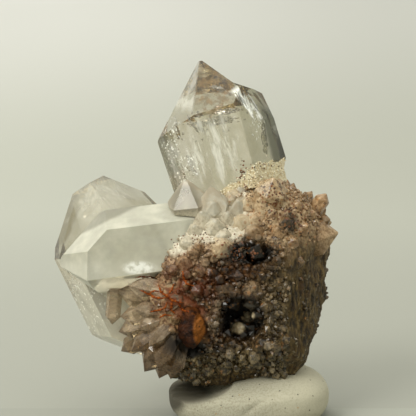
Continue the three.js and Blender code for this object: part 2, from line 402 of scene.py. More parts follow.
class Look(Nodes):
    """A material while it is being wired. Its places are in millimetres."""

    def __init__(self, name):
        self.material = bpy.data.materials.new(name)
        self.material.use_nodes = True
        super().__init__(self.material.node_tree)
        place = self.node("ShaderNodeTexCoord", out="Object")
        self.place = self.vector_math("SCALE", place, 1 / MM)
        self.x = self.node("ShaderNodeSeparateXYZ", {}, {0: self.place})
        self.y = self.x.other("Y")
        self.z = self.x.other("Z")
        away = self.vector_math("SUBTRACT", self.place, VIEW_TARGET)
        depth = VIEW_DISTANCE + self.dot(away, FORWARD)
        self.column = FRAME / 2 + FOCUS * ((self.x - VIEW_TARGET[0]) / depth)
        self.row = FRAME / 2 - FOCUS * (self.dot(away, UPWARD) / depth)
        self.tone = None
        self.fine = None
        self.skin = None

    def noise(self, size, detail=3.0, roughness=0.55, place=None):
        values = {"Vector": place or self.place, "Scale": 1 / size, "Detail": detail, "Roughness": roughness}
        return self.node("ShaderNodeTexNoise", {}, values)

    def patches(self, size, detail, low, high):
        """Noise with its soft borders between two levels."""
        return self.noise(size, detail).step(low, high)

    def cells(self, size, out="Distance"):
        return self.node("ShaderNodeTexVoronoi", {}, {"Vector": self.place, "Scale": 1 / size}, out)

    def pick(self, size, channel="Red"):
        """A number between 0 and 1 for each cell."""
        return self.node("ShaderNodeSeparateColor", {}, {0: self.cells(size, "Color")}, channel)

    def own(self, name):
        """A number stored on the piece's own mesh."""
        return self.node("ShaderNodeAttribute", {"attribute_name": name}, out="Fac")

    def along(self, direction):
        """How far the place lies along a direction, in millimetres."""
        return self.dot(self.place, tuple(Vector(direction).normalized()))

    def spot(self, px, py, wide, high, edge=0.4, most=1):
        """Most inside an ellipse of the front view, 0 outside, its sizes in the photograph's pixels."""
        x = (self.column - px) / wide
        z = (self.row - py) / high
        inner = (x * x + z * z).root().step(1 + edge, 1 - edge)
        return inner if most == 1 else inner * most

    def spots(self, *places):
        """The largest of several spots."""
        return functools.reduce(Wire.larger, [self.spot(*place) for place in places])

    def beside(self, x0, y0, x1, y1):
        """How many of the photograph's pixels the place lies to the right of a line down its front view."""
        length = math.hypot(x1 - x0, y1 - y0)
        return (self.column - x0) * ((y1 - y0) / length) - (self.row - y0) * ((x1 - x0) / length)

    def bump(self, relief, strength, distance):
        values = {"Height": relief, "Strength": strength, "Distance": distance * MM}
        return self.node("ShaderNodeBump", {}, values)

    def lay(self, share, tint, light=None):
        """Paints a tint, or the fine grain between a dark and a light one, over the tone."""
        if light:
            tint = self.mix(self.fine, tint, light)
        self.tone = self.mix(share, self.tone, tint)

    def surface(self, **values):
        """The main shader; a name with underscores stands for the socket's name."""
        named = {}
        for key, value in values.items():
            socket = key.replace("_", " ").title().replace("Ior", "IOR")
            named[socket] = colour(value) if "color" in key else value
        return self.node("ShaderNodeBsdfPrincipled", {}, named)

    def glass(self, lean, rough=0.012, strength=0.12):
        """Clear quartz in the tone, with a slightly wavy skin and fine steps square to its axis."""
        steps = self.noise(0.8, 3, 0.5, self.line(self.along(lean), self.noise(9, 2)))
        relief = self.noise(5, 2) + 0.25 * steps + 0.04 * self.noise(0.6, 2)
        normal = self.bump(relief, strength, 0.5)
        self.skin = self.surface(
            base_color=self.tone, roughness=rough, transmission_weight=1.0, ior=1.544, normal=normal
        )

    def wisps(self, lean, size=1.6):
        """Soft streaks that run along a crystal's axis."""
        axis = Vector(lean).normalized()
        side = axis.orthogonal().normalized()
        line = self.line(self.along(side), self.along(axis.cross(side)), 0.22 * self.along(axis))
        return self.noise(size, 4, 0.6, line)

    def stain(self, spots, tint, amount=1.0):
        """A thin skin on clear quartz, where spots is not 0: stains and frost, and in places painted
        highlights and painted shade.
        """
        skin = self.surface(base_color=tint, roughness=0.5, specular_ior_level=0.3)
        self.skin = self.node("ShaderNodeMixShader", {}, {0: spots * amount, 1: self.skin, 2: skin})

    def finished(self, surface=None, tint=None, density=0.0):
        """The material, from its glass or another surface, with a tint that builds up through it."""
        volume = None
        if tint:
            volume = self.node("ShaderNodeVolumeAbsorption", {}, {"Color": colour(tint), "Density": density})
        self.output("ShaderNodeOutputMaterial", Surface=surface or self.skin, Volume=volume)
        return self.material


def colour(value):
    """A colour socket's value from a wire, or from three or four numbers."""
    if isinstance(value, Wire) or len(value) == 4:
        return value
    return (*value, 1.0)


class ClusterSizes(bpy.types.PropertyGroup):
    """What a user of the cluster would change."""

    edge_width: bpy.props.FloatProperty(
        name="Edge width", description="Width of the soft edges of the crystals",
        default=0.00012, unit="LENGTH",
    )
    druse_distance: bpy.props.FloatProperty(
        name="Druse spacing", description="Least distance between the large crystals of the druse",
        default=0.00135, unit="LENGTH",
    )
    sugar_distance: bpy.props.FloatProperty(
        name="Sugar spacing", description="Least distance between the finest crystals",
        default=0.00055, unit="LENGTH",
    )
    seed: bpy.props.IntProperty(name="Seed", description="Picks another druse", default=7)


class ClusterColours(bpy.types.PropertyGroup):
    """The colours of the cluster."""

    quartz: bpy.props.FloatVectorProperty(
        name="Clear quartz", description="Tint that builds up through the clear crystals",
        subtype="COLOR", size=3, default=(0.7, 0.56, 0.22),
    )
    smoke: bpy.props.FloatVectorProperty(
        name="Smoke", description="Tint of the small blades", subtype="COLOR", size=3,
        default=(0.55, 0.4, 0.2),
    )
    rust: bpy.props.FloatVectorProperty(
        name="Rust", description="Colour of the iron stains", subtype="COLOR", size=3,
        default=(0.2, 0.045, 0.01),
    )
    pebble: bpy.props.FloatVectorProperty(
        name="Pebble", description="Colour of the pebble", subtype="COLOR", size=3,
        default=(0.42, 0.4, 0.305),
    )
    floor: bpy.props.FloatVectorProperty(
        name="Floor", description="Colour of the floor and the backdrop", subtype="COLOR", size=3,
        default=(0.284, 0.287, 0.25),
    )


# Meshes of the crystals

# Faces that meet at less than the first angle are one; edges sharper than the second are softened.
FLAT_ANGLE = 0.6
EDGE_ANGLE = 6
# Corners of a solid closer together than this, in metres, are one.
MERGE_DISTANCE = 2e-6
# The most faces that a line through a solid is followed through.
MOST_HITS = 20
# How far a bubble's middle stays below the skin, in its radii.
BUBBLE_ROOM = 1.4


def merged_copy(node, name):
    """A copy of a solid with its corners merged and its flat faces whole."""
    thing = new_object(name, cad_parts[node].data.copy())
    with edited(thing) as shape:
        bmesh.ops.remove_doubles(shape, verts=shape.verts, dist=MERGE_DISTANCE)
        flat = math.radians(FLAT_ANGLE)
        bmesh.ops.dissolve_limit(shape, angle_limit=flat, verts=shape.verts, edges=shape.edges)
    return thing


def soften_edges(thing, width):
    """Cuts a narrow chamfer along every edge, so that it catches the light."""
    bevel = thing.modifiers.new("edges", "BEVEL")
    bevel.width = width
    bevel.segments = 2
    bevel.limit_method = "ANGLE"
    bevel.angle_limit = math.radians(EDGE_ANGLE)
    replace_with_result(thing)


def refine(thing, longest):
    """Splits the faces until no edge is longer than longest, in millimetres."""
    with edited(thing) as shape:
        bmesh.ops.triangulate(shape, faces=shape.faces)
        for _ in range(6):
            long_edges = [e for e in shape.edges if e.calc_length() > longest * MM]
            if not long_edges:
                break
            bmesh.ops.subdivide_edges(shape, edges=long_edges, cuts=1)
            bmesh.ops.triangulate(shape, faces=[f for f in shape.faces if len(f.verts) > 3])


def replace_with_result(thing):
    """Puts what an object's modifiers make in the place of its mesh."""
    graph = bpy.context.evaluated_depsgraph_get()
    result = bpy.data.meshes.new_from_object(thing.evaluated_get(graph))
    thing.modifiers.clear()
    swap_mesh(thing, result)


# Rings and spokes of a crack's outline, and its thickness in the middle, in millimetres.
CRACK_RINGS = 7
CRACK_SPOKES = 36
CRACK_THICKNESS = 0.05
# The druse's crystals on a square metre, before their spacing thins them.
MOST_CRYSTALS = 6000000.0


def crack(where, facing, along, length, width, wave, seed):
    """A thin crack inside a crystal: its walls face into it, as those of a hollow do."""
    middle = Vector(seen_at(*where))
    normal = Vector(facing).normalized()
    along = Vector(along)
    along = (along - normal * along.dot(normal)).normalized()
    side = normal.cross(along)
    points = []
    for wall in (1, -1):
        for ring in range(CRACK_RINGS + 1):
            for spoke in range(CRACK_SPOKES):
                angle = 2 * math.pi * spoke / CRACK_SPOKES
                share = ring / CRACK_RINGS
                bite = noise.noise(Vector((3 * math.cos(angle), 3 * math.sin(angle), seed)))
                reach = share * (1 + 0.3 * bite)
                u = reach * length * math.cos(angle)
                v = reach * width * math.sin(angle)
                swell = wave * noise.fractal(Vector((u, v, seed)) / 1.7, 0.8, 2, 3)
                rise = swell + wall * 0.5 * CRACK_THICKNESS * (1 - share * share)
                points.append(middle + along * u + side * v + normal * rise)
    faces = bands(CRACK_RINGS, CRACK_SPOKES)
    layer = (CRACK_RINGS + 1) * CRACK_SPOKES
    return points, faces + [face[::-1] for face in bands(CRACK_RINGS, CRACK_SPOKES, layer)]


def bubble(middle, radius):
    """A small round bubble, its wall facing into it."""
    directions, faces = BUBBLE
    points = [Vector(middle) + radius * Vector(d) for d in directions]
    return points, [face[::-1] for face in faces]


BUBBLE = ball(2)


def strewn_bubbles(patches, seed):
    """Bubbles in patches of the front view: pixel, half sizes, depths, how many and the largest."""
    pick = random.Random(seed)
    bubbles = []
    for px, py, wide, high, front, back, count, largest in patches:
        for _ in range(count):
            u, v = pick.gauss(0, 0.5), pick.gauss(0, 0.5)
            middle = seen_at(px + wide * u, pick.uniform(front, back), py + high * v)
            bubbles.append((middle, pick.uniform(0.25, 1) ** 2 * largest))
    return bubbles


def add_flaws(thing, node, cracks, bubbles):
    """Adds cracks and bubbles to a crystal's mesh, where they lie inside it."""
    shapes = [(points_of(thing), [list(f.vertices) for f in thing.data.polygons])]
    shapes += [crack(*values, number * 1.37) for number, values in enumerate(cracks)]
    within = inside(node, [middle for middle, radius in bubbles])
    skin = tree_of([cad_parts[node]])
    for (middle, radius), held in zip(bubbles, within):
        if held and skin.find_nearest(Vector(middle))[3] > BUBBLE_ROOM * radius:
            shapes.append(bubble(middle, radius))
    swap_mesh(thing, new_mesh(thing.name, *joined(shapes)))
    with edited(thing) as shape:
        bmesh.ops.remove_doubles(shape, verts=shape.verts, dist=1e-8)


def crystal(node, name, width, cracks=(), bubbles=()):
    """A crystal of the solid model with soft edges, and with its cracks and bubbles."""
    thing = merged_copy(node, name)
    soften_edges(thing, width)
    if cracks or bubbles:
        add_flaws(thing, node, cracks, bubbles)
    return thing


def tree_of(things):
    """A search tree, in millimetres, over the faces of some objects."""
    shapes = [
        ([v.co / MM for v in thing.data.vertices], [f.vertices for f in thing.data.polygons])
        for thing in things
    ]
    return BVHTree.FromPolygons(*joined(shapes))


def inside(node, points):
    """Which points, in millimetres, lie inside a solid."""
    tree = tree_of([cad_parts[node]])
    ray = Vector((0.31, 0.87, 0.38)).normalized()
    result = np.zeros(len(points), bool)
    for i, point in enumerate(points):
        start = Vector(point)
        hits = 0
        while hits < MOST_HITS:
            place = tree.ray_cast(start, ray)[0]
            if place is None:
                break
            hits += 1
            start = place + ray * 1e-3
        result[i] = hits % 2 == 1
    return result


def landing(tree, px, py):
    """Where the camera's line through a pixel of the photograph first meets a surface, and how it faces."""
    start = Vector(VIEW_TARGET) - VIEW_DISTANCE * Vector(FORWARD)
    right = Vector((1, 0, 0)) * ((px - FRAME / 2) / FOCUS)
    way = Vector(FORWARD) + right + Vector(UPWARD) * ((FRAME / 2 - py) / FOCUS)
    return tree.ray_cast(start, way.normalized())[:2]


def small_crystal(sides=6, shaft=0.4, peak=0.5, root=0.9):
    """One crystal of the druse, a unit wide, its root below the origin."""
    points = []
    for z, wide in ((-root, 0.42), (shaft, 0.5)):
        for k in range(sides):
            angle = 2 * math.pi * (k + 0.12 * (k % 2)) / sides
            points.append((wide * math.cos(angle), wide * math.sin(angle), z))
    points.append((0.06, -0.04, shaft + peak))
    made = mesh_object("druse_shape", np.array(points) / MM, pointed_faces(sides), smooth=False)
    # tip runs from 0 at the root to 1 at the tip; the druse's material uses it to darken the roots with
    # painted shade.
    add_values(made, tip=[0.0] * sides + [0.7] * sides + [1.0])
    return made


# The inputs of the tree that grows the druse, by their kinds.
GROWER_INPUTS = {
    "Geometry": ["Surface"],
    "Object": ["Crystal"],
    "Material": ["Material"],
    "Float": ["Spacing", "Density", "Smallest", "Largest", "Tilt"],
    "String": ["Cover", "Size"],
    "Int": ["Seed"],
}


def scatter_tree():
    """The node tree that grows small crystals out of a surface."""
    group = bpy.data.node_groups.new("grown_druse", "GeometryNodeTree")
    for kind, names in GROWER_INPUTS.items():
        for name in names:
            group.interface.new_socket(name=name, in_out="INPUT", socket_type="NodeSocket" + kind)
    group.interface.new_socket(name="Druse", in_out="OUTPUT", socket_type="NodeSocketGeometry")
    tree = Nodes(group)
    given = {socket.name: Wire(tree, socket) for socket in group.nodes.new("NodeGroupInput").outputs}

    def stored(name):
        return tree.node("GeometryNodeInputNamedAttribute", {"data_type": "FLOAT"}, {"Name": given[name]})

    def chance(kind, values, out):
        return tree.node("FunctionNodeRandomValue", {"data_type": kind}, values, out)

    where = {
        "Mesh": given["Surface"],
        "Distance Min": given["Spacing"],
        "Density Max": given["Density"],
        "Density Factor": stored("Cover"),
        "Seed": given["Seed"],
    }
    points = tree.node("GeometryNodeDistributePointsOnFaces", {"distribute_method": "POISSON"}, where)
    turn = chance("FLOAT_VECTOR", {"Min": (-1, -1, -3.14), "Max": (1, 1, 3.14), "Seed": 3}, 0)
    sway = tree.vector_math("MULTIPLY", turn, tree.line(given["Tilt"], given["Tilt"], 1.0))
    euler = tree.node("FunctionNodeEulerToRotation", {}, {"Euler": sway})
    turns = {"Rotation": points.other("Rotation"), "Rotate By": euler}
    stance = tree.node("FunctionNodeRotateRotation", {"rotation_space": "LOCAL"}, turns)
    scale = chance("FLOAT", {2: given["Smallest"], 3: given["Largest"], "Seed": 5}, 1) * stored("Size")
    shape = tree.node("GeometryNodeObjectInfo", {}, {"Object": given["Crystal"]}, "Geometry")
    stand = {"Points": points, "Instance": shape, "Rotation": stance, "Scale": scale}
    placed = tree.node("GeometryNodeInstanceOnPoints", {}, stand)
    shade = {"Geometry": placed, "Name": "shade", "Value": chance("FLOAT", {"Seed": 11}, 1)}
    kinds = {"data_type": "FLOAT", "domain": "INSTANCE"}
    marked = tree.node("GeometryNodeStoreNamedAttribute", kinds, shade)
    real = tree.node("GeometryNodeRealizeInstances", {}, {"Geometry": marked})
    dress = {"Geometry": real, "Material": given["Material"]}
    tree.output("NodeGroupOutput", Druse=tree.node("GeometryNodeSetMaterial", {}, dress))
    return group


def scatter(name, surface, kind, material, spacing, smallest, largest, tilt, seed, edge=0.0):
    """Grows small crystals on a surface, by its values for their kind, as one plain mesh."""
    shape = small_crystal()
    if edge:
        soften_edges(shape, edge)
    thing = new_object(name, surface.data.copy())
    grower = thing.modifiers.new("druse", "NODES")
    grower.node_group = bpy.data.node_groups.get("grown_druse") or scatter_tree()
    values = {
        "Crystal": shape,
        "Material": material,
        "Spacing": spacing,
        "Density": MOST_CRYSTALS,
        "Smallest": smallest * MM,
        "Largest": largest * MM,
        "Tilt": tilt,
        "Cover": kind + "_cover",
        "Size": kind + "_size",
        "Seed": seed,
    }
    for item in grower.node_group.interface.items_tree:
        if item.in_out == "INPUT" and item.name in values:
            grower[item.identifier] = values[item.name]
    replace_with_result(thing)
    remove(shape)
    settle(thing, None, material)


# Rock


def dented(directions, reach, middle, hollows, rough):
    """A reach from the middle in each direction, cut short where a hollow is met first."""
    for centre, half in hollows:
        start = (np.array(middle) - np.array(centre)) / half
        way = directions / np.array(half)
        a = (way * way).sum(1)
        b = (way * start).sum(1)
        c = (start * start).sum() - 1
        under_root = b * b - a * c
        enters = (-b - np.sqrt(np.clip(under_root, 0, None))) / a
        hit = (under_root > 0) & (enters > 0)
        reach = np.where(hit, np.minimum(reach, enters + 0.25 * rough), reach)
    return reach


def rock_points(directions):
    """The rock's surface in millimetres: the solid's, with its hollows, roughened."""
    total = np.zeros(len(directions))
    for x, y, z, distance in ROCK_FACES:
        normal = np.array((x, y, z)) / math.hypot(x, y, z)
        facing = np.clip(directions @ normal, 0, None)
        total += (facing / distance) ** ROCK_SHARPNESS
    smooth = total ** (-1 / ROCK_SHARPNESS)
    reach = smooth + ROCK_ROUGHNESS * lumps(directions * smooth[:, None])
    middle = np.array(ROCK_MIDDLE)
    points = middle + directions * reach[:, None]
    wall = bare_wall(points, directions)
    rough = 0.7 * cells(points, 1.7) - 0.45 + 0.5 * grain(points, 2.6, 5)
    grooves = grain(points * np.array((1.4, 1.4, 0.3)), 1.0, 4, 5.0)
    plates = grain(points * np.array((0.5, 0.5, 0.25)), 1.6, 3, 9.0)
    striated = 0.3 * grooves + 0.45 * plates + 0.2 * grain(points, 0.7, 3, 2.0) - 0.2
    reach = reach + (1 - wall) * rough + wall * striated
    reach = dented(directions, reach, ROCK_MIDDLE, HOLLOWS, rough)
    for node in SET_IN_ROCK:
        reach = kept_outside(directions, reach, node)
    return middle + directions * reach[:, None]


# The crystals that sit in sockets of the rock, and the gap that is left round them, in millimetres.
SET_IN_ROCK = ("left_back_scepter", "left_front_crystal")
SOCKET_GAP = 0.3
# The rock's surface stays at least this far from its middle, in millimetres.
LEAST_REACH = 4.0
# What covers the rock, so that no druse grows there.
GROWN_ON_ROCK = (*SET_IN_ROCK, "top_scepter", "shoulder_crystals", "fan_crystals", "iron_nodule")


def kept_outside(directions, reach, node):
    """A reach from the rock's middle that ends just below a crystal set in the rock."""
    tree = tree_of([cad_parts[node]])
    within = inside(node, np.array(ROCK_MIDDLE) + directions * reach[:, None])
    kept = reach.copy()
    for i in np.flatnonzero(within):
        distance = tree.ray_cast(Vector(ROCK_MIDDLE), Vector(directions[i]), reach[i])[3]
        if distance is not None:
            kept[i] = max(distance - SOCKET_GAP, LEAST_REACH)
    return kept


def bare_wall(points, directions):
    """1 on the striated wall at the right and under the rock, 0 in the druse."""
    sideways = smooth_step(directions[:, 0] - 0.25 * np.abs(directions[:, 1]), 0.22, 0.42)
    forward = smooth_step(directions[:, 1], 0.9, 0.7)
    low = smooth_step(points[:, 2], height(215), height(250))
    under = smooth_step(directions[:, 2], -0.82, -0.9)
    return np.maximum(sideways * forward * low, under)


class CLUSTER_OT_rock(bpy.types.Operator):
    """Make the dark rock with its bare striated wall"""

    bl_idname = "cluster.rock"
    bl_label = "Rock"

    def execute(self, context):
        directions, faces = ball(7)
        points = rock_points(directions)
        rock = mesh_object("rock", points, faces)
        wall = bare_wall(points, directions)
        taken = np.any([inside(node, points) for node in GROWN_ON_ROCK], axis=0)
        front = points[:, 1] < 0
        # Where the front of the rock lies in a hollow: fewer crystals grow there, and the rock there is
        # darkened with painted shade.
        deep = np.zeros(len(points))
        for (x, y, z), half in HOLLOWS:
            hollow = np.hypot((points[:, 0] - x) / half[0], (points[:, 2] - z) / half[2])
            deep = np.maximum(deep, front * smooth_step(hollow, 1.0, 0.75))
        patches = smooth_step(grain(points, 6, 2, 3.0), -0.2, 0.3)
        sugar = smooth_step(points[:, 2] + 0.35 * points[:, 0], 33, 39)
        rim = spot(points, 225, 300, 34, 36, 0.4) * front
        fan = spot(points, 150, 325, 44, 60, 0.2) * (points[:, 1] < 2)
        lump = spot(points, 193, 325, 17, 28, 0.2) * front
        small = spot(points, 216, 316, 13, 20, 0.3) * front
        pale = np.maximum(spot(points, 207, 224, 46, 22, 0.3), spot(points, 172, 238, 22, 26, 0.3))
        large = (1.0 - taken) * (1 - wall) * (1 - fan) * (1 - lump) * (1 - deep)
        fine = (1.0 - taken) * (1 - 0.97 * wall) * (1 - 0.7 * deep) * (1 - 0.8 * fan) * (1 - lump)
        add_values(
            rock,
            wall=wall,
            deep=deep,
            large_cover=large * (1 - 0.7 * sugar) * (0.45 + 0.55 * patches) * (1 - pale),
            large_size=(0.62 + 0.5 * rim + 0.2 * patches) * (1 - 0.55 * small),
            fine_cover=fine * (1 - 0.55 * pale) * (1 - 0.35 * sugar),
            fine_size=1.0 - 0.25 * sugar - 0.35 * pale,
        )
        settle(rock, "matrix", rock_material())
        return {"FINISHED"}


def rock_tones(look):
    """Sets the druse's colours by place, with painted shade in its hollows and between its crystals, and
    gives the fine grain that goes with them.
    """
    broad = look.noise(6, 4)
    wavy = broad - 0.5
    grit = look.noise(0.75, 5, 0.7)
    look.fine = grit.step(0.36, 0.66)
    choice = look.pick(0.5)
    look.tone = look.mix(look.fine, (0.014, 0.005, 0.002), (0.155, 0.072, 0.027))
    look.lay(look.spot(290, 312, 36, 56, 0.5), (0.03, 0.018, 0.008), (0.3, 0.22, 0.11))
    look.lay((look.row - 25 * wavy).step(330, 365), (0.018, 0.013, 0.006), (0.3, 0.235, 0.12))
    look.lay(look.spot(150, 300, 40, 60, 0.5), (0.1, 0.06, 0.03), (0.5, 0.36, 0.2))
    peach = look.spots((184, 263, 24, 16, 0.6), (204, 252, 24, 11, 0.5)) + 0.9 * wavy
    look.lay(peach.step(0.2, 0.8), (0.17, 0.1, 0.05), (0.62, 0.45, 0.29))
    slope = look.row - 0.3 * (look.column - 249) + 30 * wavy
    look.lay(slope.step(262, 222), (0.27, 0.165, 0.08), (0.66, 0.485, 0.3))
    warm = look.spots((262, 190, 26, 24, 0.5), (332, 236, 9, 34, 0.5, 0.5), (222, 247, 12, 9)) + 0.8 * wavy
    look.lay(warm.step(0.3, 0.7) * 0.85, (0.42, 0.31, 0.185), (0.78, 0.66, 0.47))
    white = look.spots((207, 222, 46, 22, 0.5), (174, 234, 22, 22, 0.5), (232, 196, 14, 22, 0.3))
    white = white * look.y.step(6, 2)
    look.lay((white + 0.9 * wavy).step(0.25, 0.75) * 0.95, (0.6, 0.53, 0.4), (0.8, 0.75, 0.62))
    # Paler crystals in the hollow: their own pale tone, raised further as painted light so that they look
    # lit in the shaded hollow.
    glassy_and_painted_light = look.spots((248, 316, 7, 6, 0.3), (238, 328, 7, 6, 0.3))
    look.lay(glassy_and_painted_light, (0.42, 0.35, 0.22), (0.8, 0.7, 0.5))
    rim = look.spots((214, 317, 9, 16), (254, 288, 12, 8, 0.3), (228, 291, 15, 6, 0.3, 0.5))
    look.lay(rim * 0.8, (0.1, 0.06, 0.032), (0.4, 0.3, 0.19))
    # Painted shade, near black, in the hollows and between the crystals, but not on the pale crystals or the
    # brown rim round the hollow.
    painted_shade = look.spots(*PAINTED_SHADE_PLACES) * look.y.step(1, -3)
    painted_shade = (painted_shade + 1.3 * (grit - 0.5) + 0.9 * wavy).step(0.25, 0.75)
    look.lay(painted_shade * (1 - glassy_and_painted_light.larger(0.9 * rim)) * 0.96, (0.004, 0.003, 0.002))
    dots = (1 - choice.step(0.05, 0.12)) * broad.step(0.4, 0.6) * (1 - 0.6 * white)
    look.lay(dots * 0.75, (0.05, 0.018, 0.006))
    look.lay(choice.step(0.93, 0.95) * broad.step(0.35, 0.55) * 0.5, (0.45, 0.2, 0.06))
    rust = look.spot(184, 294, 26, 30, 0.6) * look.patches(2.4, 4, 0.34, 0.56) * look.y.step(0, -4)
    look.lay(rust * 0.85, chosen("rust"))
    return grit


# The darkest places of the druse, painted shade in its hollows and between its crystals: pixel, half sizes,
# softness and, where it is less than 1, depth.
PAINTED_SHADE_PLACES = [
    (251, 253, 26, 11, 0.6),
    (240, 318, 24, 21, 0.4),
    (254, 240, 16, 9, 0.8, 0.5),
    (189, 349, 16, 10, 0.5),
    (290, 222, 10, 12, 0.8, 0.6),
    (178, 344, 15, 10, 0.5),
]


def rock_material():
    look = Look("druse_rock")
    grit = rock_tones(look)
    druse = look.tone
    wall = look.own("wall")
    upright = look.vector_math("MULTIPLY", look.place, (1 / 0.8, 1 / 0.8, 1 / 2.6))
    streaks = look.noise(0.9, 5, 0.65, upright).step(0.35, 0.68)
    look.tone = look.mix(streaks, (0.012, 0.007, 0.002), (0.2, 0.13, 0.045))
    look.lay(look.patches(3.5, 3, 0.52, 0.7) * 0.5, (0.13, 0.065, 0.02))
    crest = look.mix(streaks, (0.1, 0.055, 0.02), (0.45, 0.3, 0.14))
    look.lay(look.row.step(300, 200) * 0.6, crest)
    # Pale specks on the wall: pale flecks of the stone, which also stand in as painted glints.
    look.lay(look.pick(0.4, "Green").step(0.955, 0.965) * 0.7, (0.3, 0.25, 0.16))
    look.tone = look.mix(wall, druse, look.tone)
    # Painted shade deep in the hollows.
    look.lay(look.own("deep") * 0.95, (0.006, 0.005, 0.003))
    normal = look.bump(grit + streaks * wall, 0.9, 0.5)
    return look.finished(
        look.surface(base_color=look.tone, roughness=0.55, specular_ior_level=0.35, normal=normal)
    )


def druse_material():
    """The small quartz crystals of the druse: glassy, stained, each in its own shade, and darker towards the
    root with painted shade.
    """
    look = Look("small_quartz")
    grit = rock_tones(look)
    shade = look.own("shade")
    # Each crystal's own random tone, times painted shade that darkens it towards its root, between the
    # crystals.
    light = (0.7 + 0.65 * shade) * (0.6 + 0.5 * look.own("tip"))
    parts = {"Red": light, "Green": light * 0.93, "Blue": light * 0.84}
    look.tone = look.mix(1.0, look.tone, look.node("ShaderNodeCombineColor", {}, parts), "MULTIPLY")
    look.lay(shade.step(0.7, 0.98) * 0.25, (0.6, 0.5, 0.36))
    skin = look.surface(
        base_color=look.tone, roughness=0.27, transmission_weight=0.5, ior=1.45, coat_weight=0.06,
        coat_roughness=0.06, normal=look.bump(grit, 0.25, 0.2),
    )
    return look.finished(skin)


class CLUSTER_OT_druse(bpy.types.Operator):
    """Grow the small crystals of the druse over the rock"""

    bl_idname = "cluster.druse"
    bl_label = "Druse"

    def execute(self, context):
        sizes = context.scene.cluster_sizes
        rock = bpy.data.objects["rock"]
        quartz = druse_material()
        scatter("druse_large", rock, "large", quartz, sizes.druse_distance, 1.0, 3.2, 0.6, sizes.seed, 0.05)
        scatter("druse_fine", rock, "fine", quartz, sizes.sugar_distance, 0.35, 1.0, 0.8, sizes.seed + 1)
        return {"FINISHED"}


# Single crystals of the druse by the photograph: pixel, width in millimetres, how far each leans to the
# right and up, and its shade from dark to light.
KNOBS = [
    (212, 303, 1.4, -0.3, 0.5, 0.6),
    (216, 313, 1.5, -0.4, 0.1, 0.7),
    (212, 322, 1.5, -0.3, -0.2, 0.6),
    (217, 330, 1.3, -0.3, -0.3, 0.6),
    (221, 293, 2.6, -0.1, 0.5, 0.6),
    (236, 292, 2.6, 0.0, 0.5, 0.6),
    (254, 288, 4.4, 0.1, 0.3, 0.75),
    (268, 300, 2.2, 0.4, 0.2, 0.6),
    (248, 316, 1.8, 0.1, 0.1, 0.9),
    (238, 328, 2.0, -0.1, -0.1, 0.8),
    (232, 343, 1.9, -0.2, -0.4, 0.5),
    (256, 340, 1.8, 0.3, -0.3, 0.4),
    (201, 281, 2.4, -0.5, 0.4, 0.5),
    (214, 272, 2.6, -0.3, 0.5, 0.45),
    (232, 268, 2.3, 0.0, 0.4, 0.4),
    (247, 270, 2.6, 0.1, 0.3, 0.4),
    (262, 276, 2.8, 0.3, 0.4, 0.5),
    (222, 247, 4.2, -0.1, 0.5, 0.95),
    (254, 233, 3.6, 0.0, 0.7, 0.3),
    (241, 222, 3.4, -0.2, 0.7, 0.8),
    (262, 205, 4.6, -0.1, 0.8, 0.75),
    (280, 200, 3.8, 0.3, 0.7, 0.6),
    (297, 205, 3.2, 0.5, 0.6, 0.55),
    (232, 197, 3.4, -0.3, 0.7, 0.95),
    (205, 262, 2.4, -0.4, 0.4, 0.5),
    (192, 252, 2.6, -0.6, 0.5, 0.6),
    (190, 273, 1.6, -0.4, 0.4, 1.0),
    (177, 271, 1.5, -0.5, 0.4, 1.0),
    (175, 318, 2.2, -0.5, 0.1, 0.6),
    (171, 330, 2.0, -0.6, -0.1, 0.6),
    (300, 262, 2.8, 0.8, 0.2, 0.5),
    (283, 330, 2.2, 0.5, -0.2, 0.4),
    (225, 370, 2.8, -0.1, -0.5, 0.6),
    (245, 362, 2.6, 0.1, -0.5, 0.5),
    (208, 372, 2.6, -0.3, -0.6, 0.5),
    (271, 214, 4.2, 0.1, 0.6, 0.8),
    (287, 222, 3.6, 0.3, 0.5, 0.6),
    (256, 219, 3.8, -0.1, 0.6, 0.75),
    (303, 228, 3.2, 0.5, 0.4, 0.6),
    (277, 232, 3.2, 0.1, 0.5, 0.55),
    (312, 214, 3.0, 0.6, 0.5, 0.65),
    (292, 242, 2.8, 0.3, 0.4, 0.5),
    (248, 203, 3.4, -0.2, 0.8, 0.8),
    (184, 262, 3.4, -0.4, 0.4, 0.75),
    (198, 270, 2.8, -0.3, 0.4, 0.5),
    (222, 282, 2.6, -0.1, 0.3, 0.45),
    (205, 291, 2.2, -0.3, 0.3, 0.45),
]

# The same for the pale crystals below the shoulder.
PALES = [
    (203, 218, 4.6, -0.2, 0.7, 0.9),
    (215, 226, 4.0, 0.0, 0.5, 0.8),
    (227, 217, 4.4, 0.1, 0.7, 0.9),
    (238, 205, 4.0, 0.1, 0.8, 0.9),
    (196, 230, 3.8, -0.3, 0.4, 0.8),
    (186, 226, 3.4, -0.4, 0.5, 0.9),
    (224, 236, 3.2, 0.1, 0.4, 0.7),
    (240, 192, 3.6, 0.1, 0.9, 0.9),
    (213, 206, 3.6, 0.0, 0.9, 0.9),
    (184, 244, 3.0, -0.5, 0.3, 0.8),
    (240, 222, 3.4, 0.2, 0.5, 0.8),
]

# The same for single clear chips.
CHIPS = [
    (277, 241, 2.4, 0.4, 0.6, 1.0),
    (319, 197, 2.8, 0.8, 0.6, 1.0),
    (221, 344, 1.5, -0.2, 0.2, 1.0),
]

# The large crystals that the solid model fuses to the rock: tip, foot and width in millimetres.
SINGLES = [
    ((17.7, -3.2, 37.2), (9, -1, 35.4), 7.0),
    ((15.4, -1.0, 44.9), (11, 0, 38), 2.8),
    ((4.4, -9.8, 48.6), (3.0, -4.5, 40), 5.8),
    ((-4.8, -14.4, 34.6), (-4, -8, 31), 4.2),
    ((1.4, -13.8, 36.2), (0, -7, 32), 4.0),
]

